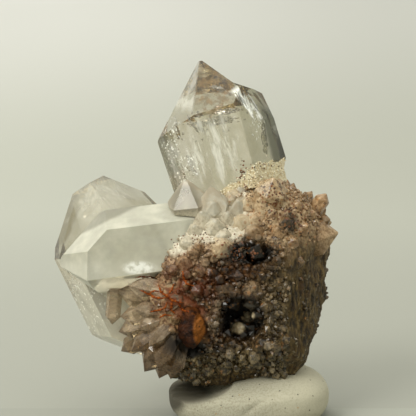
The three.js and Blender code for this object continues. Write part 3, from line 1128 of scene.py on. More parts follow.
# The slope of a quartz crystal's tip faces to its axis, as rise over half width.
TIP_RISE = math.tan(math.radians(38.2)) / math.cos(math.radians(30))


def pointed_crystal(tip, foot, width, turn):
    """Corners and faces of a six-sided crystal with a pointed tip, in millimetres."""
    tip = Vector(tip)
    foot = Vector(foot)
    axis = (tip - foot).normalized()
    side = axis.orthogonal().normalized()
    front = axis.cross(side)
    corner = width / 2 / math.cos(math.radians(30))
    points = []
    for start in (foot, tip - axis * corner * TIP_RISE):
        for k in range(6):
            angle = turn + math.radians(60 * k)
            points.append(start + corner * (side * math.cos(angle) + front * math.sin(angle)))
    return [*points, tip], pointed_faces(6)


def joined_shapes(name, shapes, tips=None):
    """One object of many shapes, each with its corners, faces and shade, and with the same tips."""
    points, faces = joined(shape[:2] for shape in shapes)
    thing = mesh_object(name, points, faces, smooth=False)
    add_values(thing, shade=np.repeat([shape[2] for shape in shapes], [len(shape[0]) for shape in shapes]))
    if tips:
        add_values(thing, tip=tips * len(shapes))
    return thing


def planted(tree, plants, seed):
    """Crystals that stand where the camera's line through their pixel meets the rock."""
    pick = random.Random(seed)
    shapes = []
    for px, py, width, right, up, shade in plants:
        place, normal = landing(tree, px, py)
        if place is None:
            continue
        lean = (Vector((right, -0.8, up)).normalized() + 0.4 * normal).normalized()
        tip = place + lean * width * pick.uniform(0.35, 0.6)
        shapes.append((*pointed_crystal(tip, place - lean * width, width, pick.uniform(0, 1)), shade))
    return shapes


def add_singles(name, shapes, material, edge=1.3):
    """Makes single crystals one piece with soft edges."""
    # Heights from root to tip, which the druse's material reads for its painted shade at the roots.
    thing = joined_shapes(name, shapes, [0.35] * 6 + [0.85] * 6 + [1.0])
    soften_edges(thing, edge * edge_width())
    settle(thing, None, material)


class CLUSTER_OT_singles(bpy.types.Operator):
    """Make the larger single crystals of the druse"""

    bl_idname = "cluster.singles"
    bl_label = "Single druse crystals"

    def execute(self, context):
        rock = bpy.data.objects["rock"]
        bare = tree_of([rock])
        large = [(*pointed_crystal(tip, foot, wide, 0.4), 0.7) for tip, foot, wide in SINGLES]
        quartz = bpy.data.materials["small_quartz"]
        add_singles("druse_singles", planted(bare, KNOBS, 4) + large, quartz)
        look = Look("chip_quartz")
        look.tone = (0.95, 0.93, 0.88)
        look.glass((0, 0, 1))
        add_singles("clear_chips", planted(bare, CHIPS, 9), look.finished(), 0.7)
        shouldered = tree_of([rock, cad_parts["shoulder_crystals"]])
        add_singles("pale_singles", planted(shouldered, PALES, 12), pale_material())
        return {"FINISHED"}


# Thin rust veins on the front, by the photograph's pixels, with their widths in millimetres.
VEINS = [
    (0.4, [(135, 278), (140, 276.4), (145, 276.6), (150, 276.3), (155, 278.3)]),
    (0.5, [(139.4, 290), (143, 291), (146.6, 293), (151, 295), (155, 297.7), (162.3, 298.3), (168, 297.3)]),
    (0.6, [(158.7, 285), (160.9, 291.6), (166.6, 295.9), (172.3, 300), (178, 302.3), (183.7, 303)]),
    (0.5, [(182.3, 270.9), (183.7, 278), (186.6, 283.7), (195, 286.6)]),
    (0.42, [(167.3, 301.6), (165, 308), (159.4, 310), (155, 310.9), (148.7, 312.3)]),
    (0.5, [(172.3, 300), (171, 309), (176, 315)]),
    (0.4, [(159.4, 318), (165, 314.4), (172.3, 315.9)]),
    (0.32, [(147.3, 293.7), (154, 291), (160.9, 291.6)]),
    (0.45, [(178, 302.3), (182, 310), (190, 312)]),
    (0.36, [(166.6, 295.9), (172, 290), (174, 283)]),
]
# A vein's sides, and the pixels between its points.
VEIN_SIDES = 6
VEIN_STEP = 0.7
# How far its points stray in pixels, the gap in millimetres that ends a stretch, and its fewest points.
VEIN_JITTER = 0.22
VEIN_GAP = 0.9
VEIN_SHORTEST = 4
# How far specks stray from their middle, in half sizes, and how much of their thickness is taken away.
SPECK_SPREAD = 0.55
SPECK_FLATNESS = 0.6

# Dark specks on the front: pixel, half sizes in pixels, how many, and the largest in millimetres.
SPECKS = [
    (156, 305, 6, 5, 22, 0.2),
    (243, 180, 4, 18, 60, 0.2),
    (262, 166, 24, 4, 26, 0.22),
    (210, 228, 14, 8, 40, 0.2),
    (196, 240, 16, 12, 60, 0.22),
    (182, 246, 14, 10, 30, 0.18),
    (228, 236, 14, 6, 36, 0.2),
    (128, 281, 6, 3, 12, 0.16),
    (276, 205, 18, 20, 70, 0.28),
    (300, 215, 16, 20, 60, 0.28),
    (240, 252, 22, 8, 60, 0.3),
    (255, 176, 12, 8, 24, 0.16),
]


def vein(tree, width, places, pick):
    """A thin raised line that follows the surface below its pixels, in one or more stretches."""
    samples = []
    for (x0, y0), (x1, y1) in zip(places, places[1:]):
        steps = max(2, round(math.hypot(x1 - x0, y1 - y0) / VEIN_STEP))
        for k in range(steps):
            share = k / steps
            x = x0 + (x1 - x0) * share + pick.gauss(0, VEIN_JITTER)
            y = y0 + (y1 - y0) * share + pick.gauss(0, VEIN_JITTER)
            samples.append(landing(tree, x, y)[0])
    stretches = [[]]
    for place in samples:
        last = stretches[-1]
        if place is None or (last and (place - last[-1]).length > VEIN_GAP):
            stretches.append([])
        if place is not None:
            stretches[-1].append(place)
    shapes = []
    for line in stretches:
        if len(line) < VEIN_SHORTEST:
            continue
        points = []
        for k, place in enumerate(line):
            ahead = line[min(k + 1, len(line) - 1)] - line[max(k - 1, 0)]
            side = ahead.cross(Vector((0, 1, 0))).normalized()
            lift = side.cross(ahead).normalized()
            taper = math.sin(math.pi * (k + 0.6) / (len(line) + 0.2)) ** 0.5
            radius = width / 2 * taper * pick.uniform(0.6, 1.2)
            for s in range(VEIN_SIDES):
                angle = 2 * math.pi * s / VEIN_SIDES
                points.append(place + radius * (side * math.cos(angle) + lift * math.sin(angle)))
        start = list(range(VEIN_SIDES))
        end = [len(points) - VEIN_SIDES + s for s in start]
        shapes.append((points, [start[::-1], end, *bands(len(line) - 1, VEIN_SIDES)], 0.5))
    return shapes


class CLUSTER_OT_stains(bpy.types.Operator):
    """Lay the rust veins and the dark specks on the front"""

    bl_idname = "cluster.stains"
    bl_label = "Veins and specks"

    def execute(self, context):
        tree = tree_of([bpy.data.objects[name] for name in FRONT_PIECES])
        pick = random.Random(21)
        lines = []
        for width, places in VEINS:
            lines += vein(tree, width, places, pick)
        veins = joined_shapes("rust_veins", lines)
        with edited(veins) as shape:
            bmesh.ops.recalc_face_normals(shape, faces=shape.faces)
        veins.data.shade_smooth()
        look = Look("rust_vein")
        tone = look.mix(look.patches(0.5, 3, 0.35, 0.65), (0.1, 0.016, 0.002), (0.36, 0.085, 0.009))
        skin = look.surface(base_color=tone, roughness=0.6, specular_ior_level=0.15)
        settle(veins, None, look.finished(skin))
        directions, faces = ball(1)
        drops = []
        for px, py, wide, high, count, largest in SPECKS:
            for _ in range(count):
                column = px + wide * pick.gauss(0, SPECK_SPREAD)
                row = py + high * pick.gauss(0, SPECK_SPREAD)
                place, normal = landing(tree, column, row)
                radius = largest * pick.uniform(0.35, 1)
                if place is None:
                    continue
                flat = [Vector(d) - SPECK_FLATNESS * normal * Vector(d).dot(normal) for d in directions]
                drops.append(([place + radius * d for d in flat], faces, pick.random()))
        look = Look("dark_speck")
        tone = look.mix(look.own("shade"), (0.03, 0.01, 0.004), (0.2, 0.065, 0.018))
        speck = look.finished(look.surface(base_color=tone, roughness=0.45))
        settle(joined_shapes("dark_specks", drops), None, speck)
        return {"FINISHED"}


# Quartz


TOP_LEAN = (-0.3, -0.14, 0.944)
LEFT_BACK_LEAN = (-0.418, -0.1, 0.903)
LEFT_FRONT_LEAN = (-0.97, -0.2, -0.1)

# Cracks in the crystals: column, depth and row of the middle, facing, the way it runs, half length,
# half width and wave, in millimetres but for the column and the row.
TOP_CRACKS = [
    ((213, -5.4, 121), (-0.1, -0.75, 0.65), (1, 0, 0.15), 4.6, 1.1, 0.3),
    ((226, -4.6, 111), (-0.1, -0.6, 0.8), (1, 0, 0.2), 2.6, 1.0, 0.25),
    ((198, -4.4, 125), (0.3, -0.8, 0.5), (0.5, 0, -0.9), 2.0, 0.5, 0.15),
    ((181, -1.5, 131), (0.6, -0.7, 0.4), (-0.5, 0, -0.9), 1.8, 0.9, 0.2),
    ((170, -0.5, 152), (0.7, -0.6, 0.3), (-0.2, 0, -1), 1.8, 0.9, 0.2),
    ((193, -3.0, 164), (0.4, -0.8, 0.4), (0.3, 0, -1), 2.4, 1.0, 0.25),
    ((240, -5.6, 100), (0.5, -0.8, 0.3), (0.5, 0, -0.87), 2.2, 0.3, 0.08),
    ((246, -5.2, 107), (0.5, -0.8, 0.3), (0.5, 0, -0.87), 2.6, 0.35, 0.08),
    ((252, -4.6, 103), (0.5, -0.8, 0.35), (0.5, 0, -0.87), 2.0, 0.25, 0.08),
    ((257, -4.0, 114), (0.5, -0.8, 0.3), (0.5, 0, -0.87), 1.6, 0.25, 0.08),
    ((262, 0.0, 140), (-0.5, -0.8, 0.1), (0.3, 0, -1), 3.2, 1.0, 0.5),
    ((222, -4.0, 92), (0.3, -0.6, 0.7), (0.8, 0, -0.5), 2.4, 0.8, 0.25),
]
TOP_BUBBLES = [
    (214, 121, 26, 8, -6.0, -3.5, 90, 0.3),
    (250, 105, 16, 18, -4.5, 0.0, 70, 0.26),
    (176, 142, 12, 20, -2.5, 2.0, 50, 0.3),
    (195, 158, 12, 20, -5.0, 3.0, 30, 0.22),
    (215, 90, 14, 14, -4.0, 2.0, 40, 0.2),
]
LEFT_BACK_CRACKS = [
    ((93, 3.5, 214), (-0.4, -0.75, 0.5), (0.5, 0, 0.8), 2.6, 0.9, 0.2),
    ((86, 2.5, 300), (-0.2, -0.8, 0.5), (0.4, 0, -0.9), 3.4, 0.9, 0.25),
    ((106, 3.5, 325), (-0.3, -0.7, 0.5), (0.9, 0, -0.3), 2.6, 1.2, 0.3),
    ((72, 3.5, 262), (0.6, -0.7, 0.2), (0.3, 0, -0.9), 2.6, 0.5, 0.15),
    ((122, 4.0, 198), (0.2, -0.8, 0.5), (0.8, 0, -0.4), 2.4, 0.7, 0.2),
]
LEFT_BACK_BUBBLES = [
    (82, 195, 14, 8, 1.5, 4.0, 36, 0.26),
    (78, 290, 8, 40, 1.0, 5.0, 60, 0.22),
    (105, 330, 24, 14, 1.0, 6.0, 60, 0.24),
    (100, 300, 20, 20, 1.0, 6.0, 40, 0.18),
]
LEFT_FRONT_CRACKS = [
    ((112, -10.0, 246), (-0.2, -0.85, 0.4), (0.9, 0, 0.3), 1.8, 0.7, 0.2),
    ((138, -11.0, 267), (0.1, -0.8, -0.5), (1, 0, 0.1), 2.6, 0.8, 0.2),
    ((150, -8.0, 236), (0.2, -0.7, 0.6), (0.9, 0, -0.2), 3.0, 1.2, 0.4),
    ((100, -9.0, 262), (-0.5, -0.7, 0.4), (0.5, 0, -0.9), 1.6, 0.5, 0.15),
]
LEFT_FRONT_BUBBLES = [
    (108, 240, 12, 8, -12.0, -9.0, 40, 0.2),
    (140, 240, 26, 20, -12.0, -6.0, 60, 0.16),
]

# The upper edge of the crust on the top crystal, as columns and rows of the photograph.
CRUST_COLUMNS = (205, 225, 235, 241, 251, 263, 285)
CRUST_ROWS = (196, 186, 182, 177, 165, 161, 158)


class CLUSTER_OT_scepters(bpy.types.Operator):
    """Make the two large clear crystals"""

    bl_idname = "cluster.scepters"
    bl_label = "Large clear crystals"

    def execute(self, context):
        width = edge_width()
        top = crystal("top_scepter", "top_crystal", width, TOP_CRACKS, strewn_bubbles(TOP_BUBBLES, 5))
        refine(top, 1.4)
        crusted = merged_copy("top_scepter", "crusted")
        refine(crusted, 0.8)
        for thing in (top, crusted):
            points = points_of(thing)
            columns, rows = pixels_of(points)
            below = rows - np.interp(columns, CRUST_COLUMNS, CRUST_ROWS) + 5 * grain(points, 1.6, 3)
            cover = smooth_step(below, -2, 3) * smooth_step(columns, 208, 232)
            add_values(thing, crust_cover=cover, crust_size=np.ones(len(points)))
        scatter("crust_grains", crusted, "crust", crust_material(), 0.34 * MM, 0.15, 0.42, 0.9, 3)
        remove(crusted)
        settle(top, "top_scepter", top_material())
        bubbles = strewn_bubbles(LEFT_BACK_BUBBLES, 6)
        left = crystal("left_back_scepter", "left_back_crystal", width, LEFT_BACK_CRACKS, bubbles)
        settle(left, "left_back_scepter", left_material())
        return {"FINISHED"}


def crust_material():
    look = Look("crust")
    tone = look.mix(look.own("shade"), (0.78, 0.66, 0.43), (0.97, 0.93, 0.76))
    grains = look.surface(base_color=tone, roughness=0.25, transmission_weight=0.2, coat_weight=0.2)
    return look.finished(grains)


def top_material():
    look = Look("top_quartz")
    cloud = look.noise(3.5, 4)
    front = look.y.step(3, 1)
    look.tone = look.mix(cloud.step(0.4, 0.7), (1, 1, 1), (0.86, 0.84, 0.75))
    mottle = look.patches(1.3, 4, 0.42, 0.6) * look.y.step(3, 0)
    look.lay(look.spot(212, 90, 20, 26, 0.3) * mottle * 0.85, (0.34, 0.19, 0.07))
    look.lay(look.spot(262, 97, 8, 9), (0.12, 0.07, 0.03))
    # Painted shade: the right face darker, and a band further right near black, for the dark room that the
    # glass reflects there.
    right = look.beside(232, 88, 250, 157) + 3 * (cloud - 0.5)
    look.lay(right.step(0, 1.5) * front * 0.75, (0.4, 0.41, 0.31))
    look.lay(right.step(17, 24) * look.row.step(96, 112) * 0.95, (0.02, 0.024, 0.014))
    look.glass(TOP_LEAN)
    streaks = look.wisps(TOP_LEAN)
    frost_and_painted_light = 0.03 + (0.3 + 0.5 * streaks.step(0.42, 0.7)) * look.spot(214, 150, 26, 34, 0.5) * front
    # On the left face and on the tip's left band this skin is painted light that covers dark reflections
    # inside the glass.
    frost_and_painted_light = frost_and_painted_light + 0.35 * look.beside(174, 130, 189, 200).step(1, -1) * look.row.step(132, 146)
    frost_and_painted_light = frost_and_painted_light + 0.3 * look.beside(200, 60, 192, 112).step(1, -1) * look.row.step(116, 104)
    streaked = look.mix(streaks.step(0.42, 0.6), (0.42, 0.41, 0.33), (0.82, 0.81, 0.74))
    look.stain(frost_and_painted_light + 0.1 * cloud.step(0.5, 0.75), streaked)
    brown = look.noise(1.4, 4, 0.6).step(0.47, 0.6) * look.spot(214, 88, 19, 26, 0.3) * front
    look.stain(brown, (0.3, 0.2, 0.1), 0.42)
    slant = look.beside(236, 90, 258, 118)
    slant = slant.math("ABSOLUTE", slant)
    shine = look.wisps((0.5, 0, -0.87), 0.6).step(0.44, 0.53)
    glint = slant.step(5.5, 3) * look.spot(247, 104, 20, 19, 0.2) * shine
    # Painted highlights: white glint streaks on the right face and glint specks on the left side.
    sides = look.spots((173, 142, 10, 22), (186, 168, 14, 16), (257, 126, 8, 14))
    glint_specks = look.noise(0.55, 3, 0.6).step(0.58, 0.64)
    look.stain(glint.larger(sides * glint_specks) * front, (0.95, 0.95, 0.9), 0.95)
    grit = look.noise(0.5, 4, 0.65)
    beige = look.mix(grit.step(0.35, 0.65), (0.6, 0.48, 0.28), (0.9, 0.83, 0.62))
    look.stain((look.own("crust_cover") + 0.7 * (grit - 0.5)).step(0.35, 0.65), beige, 0.92)
    return look.finished(tint=chosen("quartz"), density=30.0)


def left_material():
    look = Look("left_quartz")
    cloud = look.noise(4, 4)
    look.tone = look.mix(cloud.step(0.4, 0.7), (1, 1, 1), (0.84, 0.81, 0.7))
    # Darker along the left rim: painted shade, for the darker edge that the glass shows there.
    rim = look.along((-0.93, 0, 0.37)) + 0.8 * (cloud - 0.5)
    look.lay(rim.step(46.4, 47.4) * look.z.step(height(262), height(240)), (0.3, 0.25, 0.13))
    look.glass(LEFT_BACK_LEAN)
    haze = 0.1 + 0.16 * look.wisps(LEFT_BACK_LEAN).step(0.45, 0.75)
    haze = haze + look.spot(108, 312, 40, 44, 0.3, 0.35) + look.spot(98, 198, 26, 20, 0.4, 0.2)
    look.stain(haze, (0.72, 0.7, 0.6))
    # Painted highlights: glint specks inside the left edge.
    glint_specks = look.noise(0.6, 3, 0.6).step(0.6, 0.66) * look.spot(86, 300, 20, 46, 0.5)
    look.stain(glint_specks, (0.95, 0.94, 0.88), 0.8)
    chips = look.spots((82, 189, 12, 7), (99, 180, 8, 4)) * look.patches(0.7, 4, 0.45, 0.6)
    look.stain(chips, (0.4, 0.35, 0.25), 0.6)
    return look.finished(tint=chosen("quartz"), density=30.0)


class CLUSTER_OT_milky_crystal(bpy.types.Operator):
    """Make the milky crystal at the left front"""

    bl_idname = "cluster.milky_crystal"
    bl_label = "Milky crystal"

    def execute(self, context):
        bubbles = strewn_bubbles(LEFT_FRONT_BUBBLES, 8)
        front = crystal("left_front_crystal", "left_front_quartz", edge_width(), LEFT_FRONT_CRACKS, bubbles)
        settle(front, "left_front_crystal", milky_material())
        return {"FINISHED"}


def milky_material():
    look = Look("milky_quartz")
    look.tone = look.mix(look.patches(4, 4, 0.4, 0.7), (1, 1, 1), (0.88, 0.86, 0.78))
    look.glass(LEFT_FRONT_LEAN, 0.06)
    # Painted shade: a darker skin on the upper facet, which faces the light from above.
    upper = look.beside(80, 236, 196, 217).step(-1, 3) * look.beside(80, 236, 110, 221).step(-1, 3)
    milk_and_painted_light = look.mix(look.patches(2.6, 4, 0.3, 0.7), (0.62, 0.61, 0.51), (0.7, 0.685, 0.575))
    # A whiter lower band: painted highlight along the lower face.
    milk_and_painted_light = look.mix(look.row.step(256, 268) * 0.7, milk_and_painted_light, (0.84, 0.83, 0.72))
    milk_and_painted_light = look.mix(upper, milk_and_painted_light, (0.36, 0.35, 0.28))
    look.stain(0.52 + 0.2 * look.patches(5, 4, 0.35, 0.75), milk_and_painted_light)
    glint = look.spot(139, 268, 15, 6) * look.y.step(-9, -12) * look.patches(1.2, 3, 0.3, 0.6)
    look.stain(glint, (0.95, 0.95, 0.9), 0.9)
    return look.finished(tint=chosen("quartz"), density=26.0)


class CLUSTER_OT_shoulder(bpy.types.Operator):
    """Make the pale crystals between the large ones"""

    bl_idname = "cluster.shoulder"
    bl_label = "Shoulder crystals"

    def execute(self, context):
        thing = crystal("shoulder_crystals", "shoulder_quartz", 1.4 * edge_width())
        settle(thing, "shoulder_crystals", bpy.data.materials["pale_crystals"])
        return {"FINISHED"}


def pale_material():
    look = Look("pale_crystals")
    look.tone = (0.9, 0.86, 0.76)
    look.glass((0, 0, 1), 0.05)
    pale = look.mix(look.patches(2.5, 3, 0.4, 0.65), (0.6, 0.52, 0.39), (0.7, 0.66, 0.55))
    pale = look.mix(look.spot(184, 203, 15, 17, 0.3), pale, (0.29, 0.26, 0.19))
    look.stain(0.4 + 0.3 * look.noise(3, 3), pale)
    look.stain(look.row.step(205, 222) * look.patches(0.6, 4, 0.35, 0.6), (0.6, 0.54, 0.41), 0.6)
    return look.finished(tint=(0.8, 0.7, 0.5), density=35.0)


class CLUSTER_OT_fan(bpy.types.Operator):
    """Make the fan of smoky blades"""

    bl_idname = "cluster.fan"
    bl_label = "Fan of blades"

    def execute(self, context):
        blades = crystal("fan_crystals", "fan_blades", edge_width())
        settle(blades, "fan_crystals", fan_material())
        return {"FINISHED"}


def fan_material():
    """Smoky blades with striations that spread from the fan's root, rusty and dark near it, darker towards
    the bottom, and with painted shade at their lower end.
    """
    look = Look("smoky_quartz")
    # low: darker towards the bottom of the blades.
    low = look.row.step(305, 355)
    core = look.spot(186, 312, 28, 30, 0.5)
    look.tone = look.mix(low, (0.97, 0.88, 0.72), (0.84, 0.68, 0.46))
    look.lay(core, (0.35, 0.16, 0.06))
    # Painted shade, near black, at the blades' lower end by the rock.
    look.lay(look.spot(180, 345, 17, 12, 0.6), (0.05, 0.03, 0.015))
    look.glass((-0.6, 0, -0.8), 0.07)
    right = look.column - 196
    down = look.row - 296
    turn = down.math("ARCTAN2", down, 0 - right)
    reach = (right * right + down * down).root()
    streak = look.noise(1.0, 4, 0.65, look.line(16 * turn, reach * 0.07, look.y * 0.5)).step(0.36, 0.62)
    blade_skin = look.mix(low.larger(core), (0.56, 0.42, 0.27), (0.15, 0.08, 0.033))
    blade_skin = look.mix(streak * (0.6 - 0.3 * low), blade_skin, (0.68, 0.55, 0.39))
    blade_skin = look.mix(look.pick(1.7).step(0.75, 0.5) * 0.45, blade_skin, (0.16, 0.095, 0.045))
    look.stain(0.16 + 0.3 * look.noise(2.2, 4) + 0.22 * streak, blade_skin)
    look.stain(look.spot(176, 298, 24, 22, 0.6) * look.patches(1.6, 4, 0.38, 0.58), chosen("rust"), 0.75)
    # Painted shade at the blades' lower end.
    dark = look.spot(180, 345, 16, 11, 0.6) * look.patches(1.6, 4, 0.3, 0.5)
    look.stain(dark, (0.012, 0.008, 0.005), 0.9)
    return look.finished(tint=chosen("smoke"), density=70.0)


# How far the lump's knobbly skin stands above the plain solid's middle, in millimetres.
NODULE_RISE = 1.9
# A distance from its middle, in millimetres, that is outside the lump.
NODULE_FAR = 20


class CLUSTER_OT_nodule(bpy.types.Operator):
    """Make the rust-brown lump"""

    bl_idname = "cluster.nodule"
    bl_label = "Iron lump"

    def execute(self, context):
        directions, faces = ball(5)
        tree = tree_of([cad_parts["iron_nodule"]])
        low, high = (np.array(c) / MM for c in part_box("iron_nodule"))
        middle = Vector((low + high) / 2)
        reach = []
        for direction in directions:
            place = tree.ray_cast(middle + Vector(direction) * NODULE_FAR, -Vector(direction))[0]
            reach.append((place - middle).length)
        points = np.array(middle) + directions * np.array(reach)[:, None]
        knobs = 0.4 * cells(points, 2.2, 3.0) - 0.2 + 0.3 * grain(points, 1.2, 3)
        points = points + directions * knobs[:, None] + np.array((0.2, 0, NODULE_RISE))
        lump = mesh_object("iron_lump", points, faces)
        settle(lump, "iron_nodule", nodule_material())
        return {"FINISHED"}


def nodule_material():
    look = Look("limonite")
    rough = look.noise(1.0, 4)
    look.tone = look.mix(rough.step(0.35, 0.65), (0.007, 0.002, 0.001), (0.048, 0.014, 0.004))
    ochre = look.spot(199.5, 330, 6, 15, 0.3) * (0.5 + look.noise(0.6, 3)).step(0.7, 1.0)
    look.lay(ochre * 0.95, (0.27, 0.09, 0.014))
    look.lay(look.row.step(322, 310) * look.patches(0.9, 3, 0.4, 0.6) * 0.45, (0.2, 0.06, 0.01))
    normal = look.bump(look.noise(0.4, 3) + rough, 0.9, 0.4)
    return look.finished(
        look.surface(base_color=look.tone, roughness=0.45, specular_ior_level=0.16, normal=normal)
    )


class CLUSTER_OT_pebble(bpy.types.Operator):
    """Make the pale pebble that carries the cluster"""

    bl_idname = "cluster.pebble"
    bl_label = "Pebble"

    def execute(self, context):
        directions, faces = ball(6)
        x, y, z = directions.T
        upper = z > 0
        square = np.where(upper, PEBBLE_TOP_SQUARENESS, PEBBLE_UNDER_SQUARENESS)
        tall = np.where(upper, PEBBLE_TOP + PEBBLE_TOP_RISE * x, PEBBLE_UNDER)
        plan = PEBBLE_PLAN_SQUARENESS
        flat = np.abs(x / PEBBLE_HALF[0]) ** plan + np.abs(y / PEBBLE_HALF[1]) ** plan
        reach = (flat ** (square / plan) + np.abs(z / tall) ** square) ** (-1 / square)
        rough = 0.12 * grain(directions * reach[:, None], 5, 3) - 0.12
        reach = dented(directions, reach + rough, PEBBLE_MIDDLE, [PEBBLE_SCOOP], rough)
        points = directions * reach[:, None] + np.array(PEBBLE_MIDDLE)
        line = points[:, 2] - 4.3 - 0.54 * points[:, 0] - 0.3 * np.sin(0.8 * points[:, 0])
        groove = smooth_step(np.abs(line), 0.8, 0.0) * (points[:, 1] < 0)
        groove *= smooth_step(points[:, 0], -3, 0) * smooth_step(points[:, 0], 10, 7)
        points -= directions * (0.3 * groove)[:, None]
        points[:, 2] = np.maximum(points[:, 2], 0)
        settle(mesh_object("pebble", points, faces), "rest_stone", pebble_material())
        return {"FINISHED"}


def pebble_material():
    look = Look("pebble_stone")
    fine = look.noise(0.35, 4, 0.7)
    look.tone = look.mix(look.patches(6, 4, 0.3, 0.7) * 0.5, chosen("pebble"), (0.47, 0.44, 0.33))
    look.lay(fine.step(0.42, 0.68) * 0.6, (0.22, 0.19, 0.125))
    look.lay(look.x.step(0, 13) * 0.55, (0.6, 0.565, 0.425))
    level = look.vector_math("MULTIPLY", look.place, (1 / 8, 1 / 8, 1 / 0.9))
    look.lay(look.noise(1.0, 3, 0.5, level).step(0.55, 0.7) * 0.3, (0.56, 0.52, 0.4))
    dot = look.cells(0.8)
    choice = look.pick(0.8, "Green")
    look.lay(dot.step(0.26, 0.14) * choice.step(0.84, 0.88) * 0.9, (0.04, 0.035, 0.025))
    look.lay(dot.step(0.3, 0.16) * choice.step(0.07, 0.04) * 0.6, (0.4, 0.24, 0.1))
    # Painted shadow of the rock on the pebble's left lobe.
    painted_shadow = look.spots((186, 392, 28, 12), (173, 400, 13, 13, 0.5)) * look.y.step(9, 5)
    look.lay(painted_shadow * 0.94, (0.04, 0.034, 0.02))
    normal = look.bump(fine + 0.5 * look.noise(1.2, 3), 0.4, 0.25)
    return look.finished(look.surface(base_color=look.tone, roughness=0.78, normal=normal))


# Studio

FLOOR_REACH = 1.5
FLOOR_FLAT = 0.42
WALL_RISE = 0.5
WALL_CURVE = 2.2
FLOOR_RINGS = 40
FLOOR_SPOKES = 96
# Where the lamps shine, in metres.
LIT_MIDDLE = (-0.008, 0, 0.035)


def area_light(name, place, size, power, tint):
    """A round lamp that shines on the cluster's middle."""
    data = bpy.data.lights.new(name, "AREA")
    data.shape = "DISK"
    data.size = size
    data.energy = power
    data.color = tint
    lamp = new_object(name, data)
    lamp.location = place
    lamp.rotation_euler = (Vector(LIT_MIDDLE) - Vector(place)).to_track_quat("-Z", "Y").to_euler()


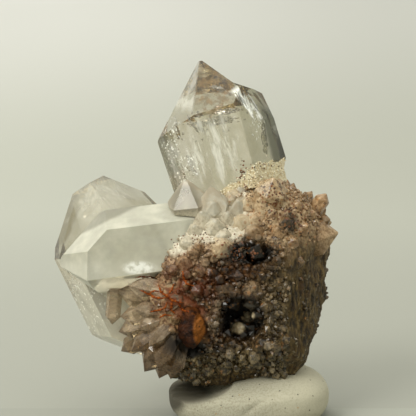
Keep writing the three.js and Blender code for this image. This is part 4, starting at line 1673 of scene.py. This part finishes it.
class CLUSTER_OT_stage(bpy.types.Operator):
    """Make the floor, the lights and the camera"""

    bl_idname = "cluster.stage"
    bl_label = "Stage"

    def execute(self, context):
        self.add_floor()
        area_light("key", (-0.5, -0.55, 0.55), 0.4, 4.6, (1, 0.99, 0.93))
        area_light("back", (-0.3, 0.6, 0.6), 0.5, 2.8, (1, 1, 0.94))
        self.add_world(context)
        self.add_camera(context)
        context.scene.view_settings.view_transform = "Standard"
        return {"FINISHED"}

    def add_floor(self):
        points = []
        for ring in range(FLOOR_RINGS + 1):
            radius = FLOOR_REACH * ring / FLOOR_RINGS
            rise = WALL_RISE * max(0.0, (radius - FLOOR_FLAT) / (FLOOR_REACH - FLOOR_FLAT)) ** WALL_CURVE
            for spoke in range(FLOOR_SPOKES):
                angle = 2 * math.pi * spoke / FLOOR_SPOKES
                points.append((radius * math.cos(angle) / MM, radius * math.sin(angle) / MM, rise / MM))
        faces = [face[::-1] for face in bands(FLOOR_RINGS, FLOOR_SPOKES)]
        floor = mesh_object("floor", points, faces)
        look = Look("floor_paper")
        tint = chosen("floor")
        # Lighter away from the middle, so darker towards the front: painted shade.
        far = (look.x * look.x + look.y * look.y).root().step(60, 480)
        look.tone = look.mix(far, tint, tuple(1.17 * c for c in tint))
        # The backdrop, darker towards the right: painted shade, for light that comes from the upper left.
        wall = look.mix(look.x.step(-240, 240), (0.68, 0.675, 0.655), (0.48, 0.48, 0.455))
        look.lay(look.z.step(-10, 200), wall)
        near = look.mix(look.x.step(-30, 30), (0.265, 0.27, 0.235), (0.31, 0.317, 0.275))
        look.lay(look.y.step(4.2, 3.4) * 0.8, near)
        floor.data.materials.append(look.finished(look.surface(base_color=look.tone, roughness=0.9)))

    def add_world(self, context):
        """Soft light from the upper left and a dimmer room at the right."""
        world = bpy.data.worlds.new("studio")
        world.use_nodes = True
        sky = Nodes(world.node_tree)
        way = sky.node("ShaderNodeTexCoord", out="Generated")
        facing = sky.dot(way, tuple(Vector((-0.55, -0.35, 0.75)).normalized()))
        light = sky.mix(facing.step(-0.2, 0.8), (0.5, 0.505, 0.45), (1.4, 1.4, 1.27))
        sky.output("ShaderNodeOutputWorld", Surface=sky.node("ShaderNodeBackground", {}, {"Color": light}))
        context.scene.world = world

    def add_camera(self, context):
        data = bpy.data.cameras.new("camera")
        data.lens = VIEW_LENS
        data.sensor_width = VIEW_SENSOR
        data.clip_start = 0.01
        data.clip_end = 10
        camera = new_object("camera", data)
        camera.location = (Vector(VIEW_TARGET) - VIEW_DISTANCE * Vector(FORWARD)) * MM
        camera.rotation_euler = (math.radians(90 - VIEW_FALL), 0, 0)
        context.scene.camera = camera


class CLUSTER_PT_panel(bpy.types.Panel):
    """The cluster's sizes, colours and pieces"""

    bl_label = "Quartz cluster"
    bl_space_type = "VIEW_3D"
    bl_region_type = "UI"
    bl_category = "Quartz"

    def draw(self, context):
        for group in (context.scene.cluster_sizes, context.scene.cluster_colours):
            for key in group.__annotations__:
                self.layout.prop(group, key)
        for step in STEPS:
            self.layout.operator(step.bl_idname)


STEPS = (
    CLUSTER_OT_pebble,
    CLUSTER_OT_rock,
    CLUSTER_OT_druse,
    CLUSTER_OT_singles,
    CLUSTER_OT_scepters,
    CLUSTER_OT_milky_crystal,
    CLUSTER_OT_shoulder,
    CLUSTER_OT_fan,
    CLUSTER_OT_nodule,
    CLUSTER_OT_stains,
    CLUSTER_OT_stage,
)
FRONT_PIECES = (
    "rock",
    "druse_large",
    "druse_fine",
    "druse_singles",
    "crust_grains",
    "top_crystal",
    "left_front_quartz",
    "shoulder_quartz",
    "fan_blades",
    "iron_lump",
)
CLASSES = (ClusterSizes, ClusterColours, *STEPS, CLUSTER_PT_panel)


def register():
    for kind in CLASSES:
        bpy.utils.register_class(kind)
    bpy.types.Scene.cluster_sizes = bpy.props.PointerProperty(type=ClusterSizes)
    bpy.types.Scene.cluster_colours = bpy.props.PointerProperty(type=ClusterColours)


def unregister():
    del bpy.types.Scene.cluster_sizes
    del bpy.types.Scene.cluster_colours
    for kind in reversed(CLASSES):
        bpy.utils.unregister_class(kind)


def main():
    register()
    bpy.ops.cluster.pebble()
    bpy.ops.cluster.rock()
    bpy.ops.cluster.druse()
    bpy.ops.cluster.singles()
    bpy.ops.cluster.scepters()
    bpy.ops.cluster.milky_crystal()
    bpy.ops.cluster.shoulder()
    bpy.ops.cluster.fan()
    bpy.ops.cluster.nodule()
    bpy.ops.cluster.stains()
    bpy.ops.cluster.stage()


if __name__ == "__main__":
    main()
